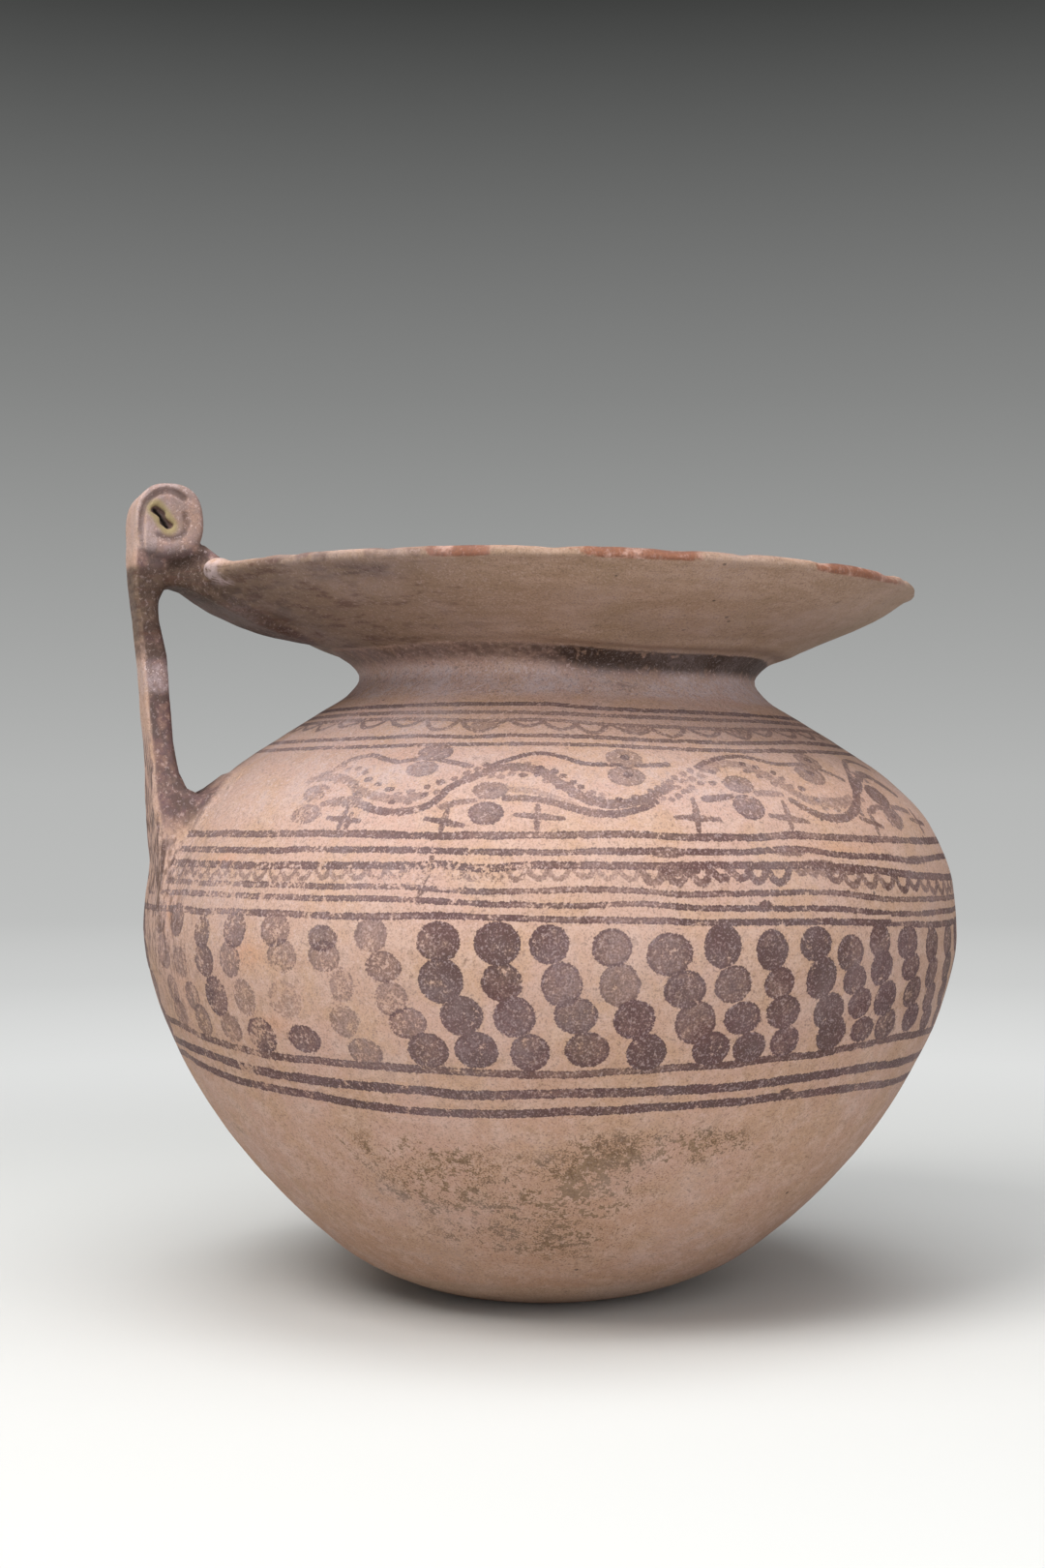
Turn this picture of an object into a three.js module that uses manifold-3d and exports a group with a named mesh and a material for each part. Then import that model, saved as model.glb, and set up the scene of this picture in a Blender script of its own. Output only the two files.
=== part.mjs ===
// Terracotta jug: a round-bellied, hand-shaped vessel with a short neck, a wide
// funnel rim and one strap handle that rises above the rim and ends in a rolled
// volute. The whole jug is one piece of fired clay, so it is one closed solid.
//
// Millimetres, +Z up. The origin is the centre of the flat underside, on the
// surface that the jug stands on. The handle is on the -X side, in the XZ plane.

import * as THREE from "three";
import { mergeVertices } from "three/addons/utils/BufferGeometryUtils.js";
import Module from "manifold-3d";

// ---------------------------------------------------------------- sizes, in mm

const BASE_FLAT_R = 26; // radius of the flattened spot that it stands on
const BELLY_R = 128.7; // widest part of the body
const BELLY_Z = 115;
const NECK_R = 64.8; // narrowest part of the neck
const NECK_Z = 193;
const RIM_R = 114.3; // outer edge of the funnel rim
const RIM_Z = 223.6;
const LIP_T = 4.6; // thickness of the rounded lip
const WALL_BASE = 8.5; // wall thickness under the floor
const WALL_BELLY = 6.2;
const WALL_NECK = 6.4;

const VIEW_TURN = -18 * (Math.PI / 180); // direction that the body leans to
const LEAN = 0.0158; // sideways drift of the axis for each mm of height
const LEAN_FROM_Z = 18.6; // the base itself stays flat
const SHOULDER_SLACK = 0.05; // the shoulder is this much slimmer on one side

const STRAP_W = 15.8; // width of the strap at the middle of its rise
const ROLL_W = 23.6; // length of the rolled volute
const CORNER_POWER = 3.6; // how square the strap is in section: 2 is an ellipse
const EDGE_ROUND = 2.2; // rounding of the volute's edges
const ROLL_R = { x: 121.7, z: 238.5, half: 10.4, tall: 11.5 }; // the volute's centre and half sizes
const GROOVE_R = 0.85; // section of the spiral groove pressed in the volute's ends
const EYE = { long: 2.7, short: 1.1, deep: 4.6, tilt: 0.5, out: 2.0, up: 1.0 }; // slit in the middle of the coil

const LUMP_R = 103.5; // how far in over the lip the tongue's clay is smeared

const SIDES = 56; // facets round the vessel

// ------------------------------------------------------------- outer profile

// Radius of the outside at a few heights, from the flat base to the neck and up
// the funnel. A monotone cubic runs between them.
const OUTSIDE = [
  [0, BASE_FLAT_R],
  [1.3, 33.5],
  [4.6, 45.5],
  [9.6, 57.2],
  [21.7, 74.0],
  [37.2, 90.0],
  [55.8, 105.0],
  [74.4, 116.2],
  [93.0, 124.2],
  [BELLY_Z, BELLY_R],
  [130.2, 127.2],
  [148.8, 120.0],
  [162.8, 107.0],
  [173.6, 91.2],
  [181.4, 78.4],
  [187.6, 68.6],
  [NECK_Z, NECK_R],
  [196.8, 67.2],
  [200.2, 73.0],
  [206.2, 87.0],
  [213.9, 104.0],
  [219.6, 112.4],
];

// Monotone cubic interpolation (Fritsch-Carlson) through [x, y] pairs.
function monotone(points) {
  const n = points.length;
  const h = [], d = [], m = [];
  for (let i = 0; i < n - 1; i++) {
    h[i] = points[i + 1][0] - points[i][0];
    d[i] = (points[i + 1][1] - points[i][1]) / h[i];
  }
  for (let i = 1; i < n - 1; i++) {
    if (d[i - 1] * d[i] <= 0) m[i] = 0;
    else {
      const w1 = 2 * h[i] + h[i - 1], w2 = h[i] + 2 * h[i - 1];
      m[i] = (w1 + w2) / (w1 / d[i - 1] + w2 / d[i]);
    }
  }
  m[0] = d[0];
  m[n - 1] = d[n - 2];
  return (x) => {
    let i = 0;
    while (i < n - 2 && x > points[i + 1][0]) i++;
    const t = (x - points[i][0]) / h[i];
    const a = points[i][1], b = points[i + 1][1];
    return (
      a * (1 + 2 * t) * (1 - t) ** 2 +
      m[i] * h[i] * t * (1 - t) ** 2 +
      b * t * t * (3 - 2 * t) +
      m[i + 1] * h[i] * t * t * (t - 1)
    );
  };
}

const outsideR = monotone(OUTSIDE);
const wall = monotone([
  [0, WALL_BASE],
  [40, 7.2],
  [BELLY_Z, WALL_BELLY],
  [170, 6.0],
  [NECK_Z, WALL_NECK],
  [208, 5.6],
  [RIM_Z, LIP_T],
]);

// The outside as a polyline, closer together where it curves, each point with
// its outward normal, so that the inside is the outside moved in by the wall.
function outsideLine() {
  const line = [];
  const heights = [0, 0.6, 1.5, 3.2, 6, 10, 15.5, 22.5];
  for (let z = 33; z < 156; z += 11.2) heights.push(z);
  for (let z = 162; z < 186; z += 6) heights.push(z);
  heights.push(187.4, 190.4, 193, 195.8, 199, 203.4, 208.4, 213.6, 217.4, 219.6);
  for (const z of heights) {
    const e = 0.05;
    const a = Math.max(0, z - e), b = Math.min(219.6, z + e);
    const slope = (outsideR(b) - outsideR(a)) / (b - a);
    const k = 1 / Math.hypot(1, slope);
    line.push({ r: outsideR(z), z, nr: k, nz: -slope * k });
  }
  return line;
}

// The wall's closed section: flat underside, outside, rounded lip, inside,
// back to the axis on the floor of the inside.
function wallSection(inset = 0) {
  const line = outsideLine();
  const section = [new THREE.Vector2(0, 0)];
  for (const p of line) section.push(new THREE.Vector2(p.r, p.z));
  // The lip: a half round from the outer edge to the inner edge.
  const top = RIM_Z - LIP_T / 2;
  for (let i = 0; i <= 5; i++) {
    const a = -0.35 + (i / 5) * (Math.PI + 0.15);
    section.push(
      new THREE.Vector2(
        RIM_R - LIP_T / 2 + (Math.cos(a) * LIP_T) / 2,
        top + (Math.sin(a) * LIP_T) / 2,
      ),
    );
  }
  const inside = [];
  for (let i = line.length - 1; i >= 0; i--) {
    const p = line[i];
    if (p.z > 214.5 || p.z < 6 || (i % 2 && p.z > 30 && p.z < 185)) continue;
    const t = wall(p.z);
    inside.push(new THREE.Vector2(p.r - p.nr * t, p.z - p.nz * t));
  }
  for (const q of inside) section.push(q);
  const last = section[section.length - 1];
  section.push(new THREE.Vector2(last.x * 0.55, WALL_BASE + 0.9));
  section.push(new THREE.Vector2(0, WALL_BASE));
  return section;
}

// ---------------------------------------------------- what the hand did to it

// Slimmer shoulder and neck on the handle's side, and the body's slight lean.
const LEAN_X = Math.cos(VIEW_TURN), LEAN_Y = Math.sin(VIEW_TURN);
const slack = monotone([
  [0, 0],
  [96, 0],
  [110, 0.004],
  [123, 0.0115],
  [132, 0.022],
  [141, 0.034],
  [150, 0.044],
  [160, SHOULDER_SLACK],
  [175, SHOULDER_SLACK],
  [190, 0.045],
  [200, 0.03],
  [216, 0],
  [RIM_Z + 50, 0],
]);
function settle(geometry) {
  const p = geometry.getAttribute("position");
  for (let i = 0; i < p.count; i++) {
    let x = p.getX(i), y = p.getY(i), z = p.getZ(i);
    const along = x * LEAN_X + y * LEAN_Y;
    const drop = LEAN * Math.min(1, Math.max(0, z / LEAN_FROM_Z)) * along;
    x += LEAN * z * LEAN_X;
    y += LEAN * z * LEAN_Y;
    p.setXYZ(i, x, y, z - drop);
  }
  return geometry;
}
function slim(geometry) {
  const p = geometry.getAttribute("position");
  for (let i = 0; i < p.count; i++) {
    const x = p.getX(i), y = p.getY(i), z = p.getZ(i);
    const turn = Math.atan2(y, x) - VIEW_TURN;
    const k = 1 - (slack(z) * (1 - Math.cos(turn))) / 2;
    p.setXYZ(i, x * k, y * k, z);
  }
  return geometry;
}

// ----------------------------------------------------------------- the solids

const wasm = await Module();
wasm.setup();

function solid(geometry) {
  const g = geometry.index ? geometry.toNonIndexed() : geometry.clone();
  for (const name of Object.keys(g.attributes)) if (name !== "position") g.deleteAttribute(name);
  const merged = mergeVertices(g, 1e-4);
  return new wasm.Manifold(
    new wasm.Mesh({
      numProp: 3,
      vertProperties: new Float32Array(merged.attributes.position.array),
      triVerts: new Uint32Array(merged.index.array),
    }),
  );
}
function geometryOf(manifold) {
  const m = manifold.getMesh();
  const v = new Float32Array(m.numVert * 3);
  for (let i = 0; i < m.numVert; i++)
    v.set(m.vertProperties.subarray(i * m.numProp, i * m.numProp + 3), i * 3);
  const g = new THREE.BufferGeometry();
  g.setAttribute("position", new THREE.BufferAttribute(v, 3));
  g.setIndex(new THREE.BufferAttribute(new Uint32Array(m.triVerts), 1));
  g.computeVertexNormals();
  return g;
}
// A lathe about Z, from a section in (radius, height).
function turned(section, sides = SIDES) {
  const g = new THREE.LatheGeometry(section, sides);
  g.rotateX(Math.PI / 2); // the lathe turns about Y
  return g;
}

// The vessel.
const vessel = solid(settle(slim(turned(wallSection()))));

// The middle of the wall, as a plug, which trims the handle's root so that none
// of it comes through to the inside.
function plug() {
  const section = [new THREE.Vector2(0, 20)];
  for (const p of outsideLine()) {
    if (p.z < 22 || p.z > 214) continue;
    const t = wall(p.z) * 0.55;
    section.push(new THREE.Vector2(p.r - p.nr * t, p.z - p.nz * t));
  }
  section.push(new THREE.Vector2(LUMP_R, 218));
  section.push(new THREE.Vector2(LUMP_R, RIM_Z + 40));
  section.push(new THREE.Vector2(0, RIM_Z + 40));
  return solid(settle(slim(turned(section))));
}

// A loft through sections. Each section spans from an outer point to an inner
// point in the XZ plane (distance outwards, height), and is as wide across as
// its two widths say. Its outline is a rectangle with soft corners.
function loft(sections, around = 20) {
  const position = [], index = [];
  const soft = 2 / CORNER_POWER;
  for (const { outer, inner, wide } of sections) {
    const cx = (outer[0] + inner[0]) / 2, cz = (outer[1] + inner[1]) / 2;
    const ax = (outer[0] - inner[0]) / 2, az = (outer[1] - inner[1]) / 2;
    for (let j = 0; j < around; j++) {
      const a = (j / around) * 2 * Math.PI + Math.PI / around;
      const c = Math.sign(Math.cos(a)) * Math.abs(Math.cos(a)) ** soft;
      const s = Math.sign(Math.sin(a)) * Math.abs(Math.sin(a)) ** soft;
      const w = (wide[0] * (1 + c) + wide[1] * (1 - c)) / 4;
      position.push(-(cx + ax * c), w * s, cz + az * c);
    }
  }
  const last = sections.length - 1;
  for (let i = 0; i < last; i++)
    for (let j = 0; j < around; j++) {
      const a = i * around + j, b = i * around + ((j + 1) % around);
      index.push(a, a + around, b, b, a + around, b + around);
    }
  for (const i of [0, last]) {
    const centre = position.length / 3;
    const { outer, inner } = sections[i];
    position.push(-(outer[0] + inner[0]) / 2, 0, (outer[1] + inner[1]) / 2);
    for (let j = 0; j < around; j++) {
      const a = i * around + j, b = i * around + ((j + 1) % around);
      if (i === 0) index.push(centre, a, b);
      else index.push(centre, b, a);
    }
  }
  const g = new THREE.BufferGeometry();
  g.setAttribute("position", new THREE.BufferAttribute(new Float32Array(position), 3));
  g.setIndex(index);
  return g;
}

// The strap, from inside the belly's wall up to the volute. The low sections
// fan out, so that the inner face runs down into a rounded fillet on the
// shoulder, and they are wider where they meet it.
const STRAP = [
  [[122.0, 108.0], [112.0, 114.0], 24, 28],
  [[123.6, 117.0], [109.0, 126.0], 29, 36],
  [[124.1, 125.5], [106.0, 137.5], 29, 40],
  [[124.2, 132.5], [102.5, 147.0], 27, 40],
  [[125.0, 140.0], [98.5, 155.5], 24, 32],
  [[125.5, 146.0], [102.6, 161.4], 21.5, 28],
  [[126.1, 151.0], [107.6, 157.8], 19.8, 25],
  [[126.4, 155.0], [112.0, 156.2], 18.6, 22.5],
  [[126.6, 159.2], [116.0, 158.2], 17.6, 20],
  [[126.7, 163.6], [118.2, 163.0], 16.9, 18.4],
  [[127.5, 172.5], [119.6, 172.3], STRAP_W + 0.2, STRAP_W + 0.6],
  [[128.6, 186.2], [120.6, 185.7], STRAP_W, STRAP_W],
  [[129.7, 198.4], [121.4, 198.0], STRAP_W, STRAP_W - 0.4],
  [[130.8, 209.5], [123.9, 208.5], STRAP_W + 0.2, STRAP_W - 0.2],
  [[131.6, 215.0], [124.4, 214.4], STRAP_W + 0.6, STRAP_W],
  [[132.2, 220.5], [123.6, 220.5], STRAP_W + 1.4, STRAP_W + 1],
  [[132.6, 228.0], [120.5, 228.0], ROLL_W - 4.5, ROLL_W - 6],
  [[132.2, 235.0], [118.0, 235.0], ROLL_W - 3.4, ROLL_W - 5],
  [[130.8, 241.0], [118.0, 240.0], ROLL_W - 3.4, ROLL_W - 5],
].map(([outer, inner, wo, wi]) => ({ outer, inner, wide: [wo, wi] }));

// The tongue under the volute, from inside the strap, spreading sideways as it
// comes on to the rim, over the lip.
const TONGUE = [
  [[127.6, 231.0], [127.6, 208.0], 14, 13.5],
  [[125.0, 231.4], [125.0, 215.4], 15.5, 15],
  [[122.4, 231.6], [122.4, 218.6], 17, 17],
  [[119.4, 232.0], [119.6, 219.6], 18.5, 19],
  [[116.4, 232.2], [116.2, 218.9], 20, 22],
  [[113.4, 232.4], [112.6, 217.2], 22, 28],
  [[110.8, 231.8], [109.0, 215.8], 24, 35],
  [[108.2, 229.8], [105.8, 214.4], 27, 41],
  [[105.4, 227.6], [102.0, 213.4], 28, 41],
].map(([outer, inner, wo, wi]) => ({ outer, inner, wide: [wo, wi] }));

// The volute: the strap's end rolled up, lying across the handle.
function volute() {
  const g = new THREE.Shape();
  const n = 30;
  for (let i = 0; i < n; i++) {
    const a = (i / n) * 2 * Math.PI;
    const c = Math.cos(a), s = Math.sin(a);
    const e = 0.82; // squarer than an ellipse
    const x = Math.sign(c) * Math.abs(c) ** e * (ROLL_R.half - EDGE_ROUND);
    const y = Math.sign(s) * Math.abs(s) ** e * (ROLL_R.tall - EDGE_ROUND);
    if (i === 0) g.moveTo(x, y);
    else g.lineTo(x, y);
  }
  const solidRoll = new THREE.ExtrudeGeometry(g, {
    depth: ROLL_W - 2 * EDGE_ROUND,
    steps: 1,
    bevelEnabled: true,
    bevelThickness: EDGE_ROUND,
    bevelSize: EDGE_ROUND,
    bevelSegments: 3,
  });
  solidRoll.translate(0, 0, EDGE_ROUND - ROLL_W / 2);
  solidRoll.rotateX(Math.PI / 2);
  solidRoll.translate(-ROLL_R.x, 0, ROLL_R.z);
  return solidRoll;
}

// The spiral that the rolled strap shows on each end of the volute. It starts
// low on the outer side, runs over the top and winds in to the slit.
class Coil extends THREE.Curve {
  constructor(side) {
    super();
    this.side = side;
  }
  getPoint(t) {
    const a = Math.PI * 1.2 - t * 1.62 * 2 * Math.PI;
    const k = 0.74 - 0.4 * t;
    return new THREE.Vector3(
      -(ROLL_R.x + EYE.out * t - Math.cos(a) * ROLL_R.half * k),
      (this.side * ROLL_W) / 2,
      ROLL_R.z - 0.5 * (1 - t) + EYE.up * t + Math.sin(a) * ROLL_R.tall * k,
    );
  }
}
function groove(side) {
  const ring = new THREE.Shape();
  ring.absarc(0, 0, GROOVE_R, 0, 2 * Math.PI, false);
  return new THREE.ExtrudeGeometry(ring, {
    steps: 32,
    curveSegments: 3,
    bevelEnabled: false,
    extrudePath: new Coil(side),
  });
}
function eye(side) {
  const slit = new THREE.Shape();
  slit.absellipse(0, 0, EYE.short, EYE.long, 0, 2 * Math.PI, false, EYE.tilt);
  const g = new THREE.ExtrudeGeometry(slit, {
    depth: EYE.deep + 1,
    steps: 1,
    curveSegments: 7,
    bevelEnabled: false,
  });
  g.rotateX(Math.PI / 2); // along -Y
  g.translate(-(ROLL_R.x + EYE.out), side > 0 ? ROLL_W / 2 + 1 : -ROLL_W / 2 + EYE.deep, ROLL_R.z + EYE.up);
  return g;
}

let grip = solid(loft(STRAP)).add(solid(volute())).add(solid(loft(TONGUE, 16)));
for (const side of [-1, 1])
  grip = grip.subtract(solid(groove(side))).subtract(solid(eye(side)));
grip = grip.subtract(plug());
// Keep the part of the handle outside the plug.
grip = grip.decompose().sort((a, b) => b.volume() - a.volume())[0];

const jug = vessel.add(grip);

const mesh = new THREE.Mesh(
  geometryOf(jug),
  new THREE.MeshStandardMaterial({ color: 0xc9a184, roughness: 0.85, metalness: 0 }),
);
mesh.name = "jug";

const group = new THREE.Group();
group.add(mesh);
export default group;
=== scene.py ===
import math

import bpy
import numpy as np
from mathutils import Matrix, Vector


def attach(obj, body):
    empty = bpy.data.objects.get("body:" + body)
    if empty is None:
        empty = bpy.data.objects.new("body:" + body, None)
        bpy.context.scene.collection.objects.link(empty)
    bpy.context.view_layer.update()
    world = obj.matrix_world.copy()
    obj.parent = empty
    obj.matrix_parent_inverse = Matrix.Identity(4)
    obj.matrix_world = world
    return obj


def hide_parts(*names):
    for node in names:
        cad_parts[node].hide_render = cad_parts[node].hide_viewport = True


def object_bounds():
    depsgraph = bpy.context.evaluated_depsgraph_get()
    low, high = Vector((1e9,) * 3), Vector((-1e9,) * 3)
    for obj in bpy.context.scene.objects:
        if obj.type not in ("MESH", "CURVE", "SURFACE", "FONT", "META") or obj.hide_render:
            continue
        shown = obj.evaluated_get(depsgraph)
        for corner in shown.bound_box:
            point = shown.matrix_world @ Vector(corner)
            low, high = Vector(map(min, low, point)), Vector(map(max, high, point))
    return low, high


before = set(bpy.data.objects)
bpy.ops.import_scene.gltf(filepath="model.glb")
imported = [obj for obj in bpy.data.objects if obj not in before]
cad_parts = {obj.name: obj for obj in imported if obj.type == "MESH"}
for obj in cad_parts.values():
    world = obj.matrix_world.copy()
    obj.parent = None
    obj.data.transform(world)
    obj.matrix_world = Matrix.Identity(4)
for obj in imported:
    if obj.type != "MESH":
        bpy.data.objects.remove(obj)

CAD_BOX = [[float(c) for c in corner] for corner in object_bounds()]

# The fired clay jug, as a mesh far finer than the frame's solid. All the working
# is in millimetres and goes to metres at the end. Angles round the jug are
# measured from +X towards +Y, so the handle is at 180 degrees.

# =============================================================== small helpers


class Curve:
    """Monotone cubic through (x, y) pairs."""

    def __init__(self, points):
        p = np.array(points, float)
        self.x, self.y = p[:, 0], p[:, 1]
        h = np.diff(self.x)
        d = np.diff(self.y) / h
        m = np.zeros(len(p))
        for i in range(1, len(p) - 1):
            if d[i - 1] * d[i] > 0:
                w1, w2 = 2 * h[i] + h[i - 1], h[i] + 2 * h[i - 1]
                m[i] = (w1 + w2) / (w1 / d[i - 1] + w2 / d[i])
        m[0], m[-1] = d[0], d[-1]
        self.h, self.m = h, m

    def __call__(self, x):
        x = np.clip(np.asarray(x, float), self.x[0], self.x[-1])
        i = np.clip(np.searchsorted(self.x, x, side="right") - 1, 0, len(self.h) - 1)
        h = self.h[i]
        t = (x - self.x[i]) / h
        a, b = self.y[i], self.y[i + 1]
        return (a * (1 + 2 * t) * (1 - t) ** 2 + self.m[i] * h * t * (1 - t) ** 2
                + b * t * t * (3 - 2 * t) + self.m[i + 1] * h * t * t * (t - 1))


def step(x, a, b):
    """0 at a, 1 at b, smooth between; a may be above b."""
    t = np.clip((x - a) / (b - a), 0, 1)
    return t * t * (3 - 2 * t)


def lattice(i, j, k, seed):
    with np.errstate(over="ignore"):
        h = (i.astype(np.uint32) * np.uint32(374761393)
             ^ j.astype(np.uint32) * np.uint32(668265263)
             ^ k.astype(np.uint32) * np.uint32(2246822519))
        h = h + np.uint32((seed * 3266489917 + 12345) % 4294967296)
        h = (h ^ (h >> np.uint32(15))) * np.uint32(2246822519)
        h = (h ^ (h >> np.uint32(13))) * np.uint32(3266489917)
        h = h ^ (h >> np.uint32(16))
    return h.astype(np.float64) / 4294967295.0


def noise(p, size, seed=0):
    """Smooth value noise from -1 to 1; size is in mm, one number or three."""
    q = np.asarray(p, float) / np.asarray(size, float)
    f = np.floor(q)
    t = q - f
    t = t * t * (3 - 2 * t)
    c = f.astype(np.int64)
    total = 0
    for dx in (0, 1):
        wx = t[:, 0] if dx else 1 - t[:, 0]
        for dy in (0, 1):
            wy = t[:, 1] if dy else 1 - t[:, 1]
            for dz in (0, 1):
                wz = t[:, 2] if dz else 1 - t[:, 2]
                total = total + wx * wy * wz * lattice(c[:, 0] + dx, c[:, 1] + dy, c[:, 2] + dz, seed)
    return total * 2 - 1


def turn(a):
    """An angle in degrees brought to -180..180."""
    return (np.asarray(a, float) + 180) % 360 - 180


# ================================================================ the vessel

OUTSIDE = Curve([[0, 26], [1.3, 33.5], [4.6, 45.5], [9.6, 57.2], [21.7, 74.0], [37.2, 90.0],
                 [55.8, 105.0], [74.4, 116.2], [93.0, 124.2], [115, 128.7], [130.2, 127.2],
                 [148.8, 120.0], [162.8, 107.0], [173.6, 91.2], [181.4, 78.4], [187.6, 68.6],
                 [193, 64.8], [196.8, 67.2], [200.2, 73.0], [206.2, 87.0], [213.9, 104.0],
                 [219.6, 112.4]])
WALL = Curve([[0, 8.5], [40, 7.2], [115, 6.2], [170, 6.0], [193, 6.4], [208, 5.6], [223.6, 4.6]])
SLACK = Curve([[0, 0], [96, 0], [110, .004], [123, .0115], [132, .022], [141, .034], [150, .044],
               [160, .05], [175, .05], [190, .045], [200, .03], [216, 0], [273, 0]])
TOP_Z = 219.6
LIP_R, LIP_Z, LIP_HALF = 112.0, 221.3, 2.3
SIDE = math.radians(-18)
SX, SY = math.cos(SIDE), math.sin(SIDE)
LEAN = .0158


def place(th, r, z):
    """Angle (radians), radius and height on the true turned form, to the slightly slack and leaning real one."""
    k = 1 - SLACK(z) * (1 - np.cos(th - SIDE)) / 2
    x, y = r * k * np.cos(th), r * k * np.sin(th)
    along = x * SX + y * SY
    return np.stack([x + LEAN * z * SX, y + LEAN * z * SY, z - LEAN * np.clip(z / 18.6, 0, 1) * along], -1)


def unplace(p):
    """The way back: position to angle, radius and height on the turned form."""
    z = p[:, 2].copy()
    for _ in range(3):
        x = p[:, 0] - LEAN * z * SX
        y = p[:, 1] - LEAN * z * SY
        z = p[:, 2] + LEAN * np.clip(z / 18.6, 0, 1) * (x * SX + y * SY)
    th = np.arctan2(y, x)
    k = 1 - SLACK(z) * (1 - np.cos(th - SIDE)) / 2
    return th, np.hypot(x, y) / k, z


def normal2(z, e=.05):
    a, b = np.maximum(0, z - e), np.minimum(TOP_Z, z + e)
    slope = (OUTSIDE(b) - OUTSIDE(a)) / (b - a)
    k = 1 / np.hypot(1, slope)
    return k, -slope * k


_z = np.linspace(0, TOP_Z, 6001)
_r = OUTSIDE(_z)
_s = np.concatenate([[0], np.cumsum(np.hypot(np.diff(_z), np.diff(_r)))])
ARC_END = _s[-1]


def arc(z):
    """Distance along the outside, from the edge of the underside."""
    return np.interp(z, _z, _s)


def arc_z(s):
    return np.interp(s, _s, _z)


def crease(th):
    """Height of the join between the neck and the funnel, which the potter left uneven."""
    d = np.degrees(th)
    return 199.3 + .9 * np.sin(np.radians(d * 2 + 40)) + .5 * np.sin(np.radians(d * 5 - 20))


def right_front(th):
    """1 on the side where the funnel was set on with an overhang, 0 round the back."""
    d = turn(np.degrees(th))
    return step(d, -122, -96) * step(d, -12, -34)


def relief(th, r, z, near):
    """How far the outside stands off the true form. near is the distance to the handle."""
    p = np.stack([r * np.cos(th), r * np.sin(th), z], -1)
    n = .30 * noise(p, 42, 1) + .17 * noise(p, 17, 2) + .07 * noise(p, 6.5, 3) - .25
    n = n + .035 * noise(np.stack([th * 14, p[:, 2] * 0, p[:, 2]], -1), [3.2, 1, 1.7], 4)
    n = n * step(z, 0, 9)
    # the join under the funnel: a pressed groove, deeper where the funnel overhangs
    zc = crease(th)
    over = right_front(th)
    rough = .5 + .5 * noise(p, [7, 7, 5], 5)
    d = z - zc
    n = n - (.35 + .75 * over) * (.6 + .6 * rough) * np.exp(-(d / (1.0 + .35 * over)) ** 2)
    n = n + (.25 + .75 * over) * np.exp(-((d - 2.6) / 1.5) ** 2) * (.7 + .5 * rough)
    n = n - over * .75 * np.exp(-((z - 195.6) / 2.6) ** 2)
    # finger-wide hollows on the funnel's underside
    n = n + .22 * noise(np.stack([th * 40, z * 0, z], -1), [16, 1, 9], 6) * step(z, 203, 208)
    return n * step(near, 1.5, 9)


CHIPS = [(-172, 2.2, .9), (-150, 1.6, .7), (-133, 1.0, .5), (-109, 1.4, .7), (-92, 2.4, .8), (-81, .9, .6),
         (-66, 1.7, .8), (-47, 2.6, 1.0), (-39, 1.2, .9), (-24, 1.8, 1.0), (-5, 1.1, .5), (17, 1.8, .8),
         (44, 1.2, .6), (63, 2.6, .9), (95, 1.5, .6), (121, 2.0, .9), (149, 1.3, .7)]


def lip_relief(th, a):
    """Wear of the lip: a is the angle round the half-round lip."""
    d = np.degrees(th)
    p = np.stack([d * 2, d * 0, a * 2], -1)
    n = .16 * noise(p, [9, 1, 3], 11) + .12 * noise(p, [3.2, 1, 2], 12) - .22
    for at, wide, deep in CHIPS:
        n = n - deep * np.exp(-(turn(d - at) / wide) ** 2) * np.exp(-((a - 1.0) / .9) ** 2)
    return n


# ================================================================ the handle
# Distance outwards u = -x, across y, height z.

STRAP_OUT = [(122.0, 108.0), (123.6, 117.0), (124.1, 125.5), (124.2, 132.5), (125.0, 140.0),
             (125.5, 146.0), (126.1, 151.0), (126.4, 155.0), (126.6, 159.2), (126.7, 163.6),
             (127.5, 172.5), (128.6, 186.2), (129.7, 198.4), (130.8, 209.5), (131.6, 215.0),
             (132.2, 220.5), (132.5, 228.0), (132.0, 235.0), (130.6, 240.0)]
STRAP_IN = [(112.0, 114.0), (109.0, 126.0), (106.0, 137.5), (102.5, 147.0), (98.5, 155.5),
            (102.6, 161.4), (107.6, 157.8), (112.0, 156.2), (116.0, 158.2), (118.2, 163.0),
            (119.6, 172.3), (120.6, 185.7), (121.4, 198.0), (123.9, 208.5), (124.4, 214.4),
            (123.6, 220.5), (120.5, 228.0), (118.0, 235.0), (118.0, 240.0)]
STRAP_POLY = np.array(STRAP_OUT + STRAP_IN[::-1])
STRAP_W_OUT = Curve([(108, 24), (117, 29), (125.5, 29), (132.5, 27), (140, 24), (146, 21.5), (151, 19.8),
                     (155, 18.6), (159.2, 17.6), (163.6, 16.9), (172.5, 16), (186.2, 15.8), (209.5, 16),
                     (215, 16.4), (220.5, 17.2), (228, 19.1), (235, 20.2), (251, 20.2)])
STRAP_W_IN = Curve([(108, 28), (126, 36), (137.5, 40), (147, 40), (155.5, 30), (159, 22), (163, 18.4),
                    (172, 16.4), (198, 15.4), (208.5, 15.6), (215, 15.8), (220.5, 16.8), (228, 17.6),
                    (251, 18.6)])
STRAP_U_OUT = Curve([(z, u) for u, z in STRAP_OUT])
STRAP_U_IN = Curve([(114, 112), (126, 109), (137.5, 106), (147, 102.5), (155, 104), (158, 112), (163, 118.2),
                    (172.3, 119.6), (185.7, 120.6), (198, 121.4), (208.5, 123.9), (220.5, 123.6),
                    (228, 120.5), (240, 118)])
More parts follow.
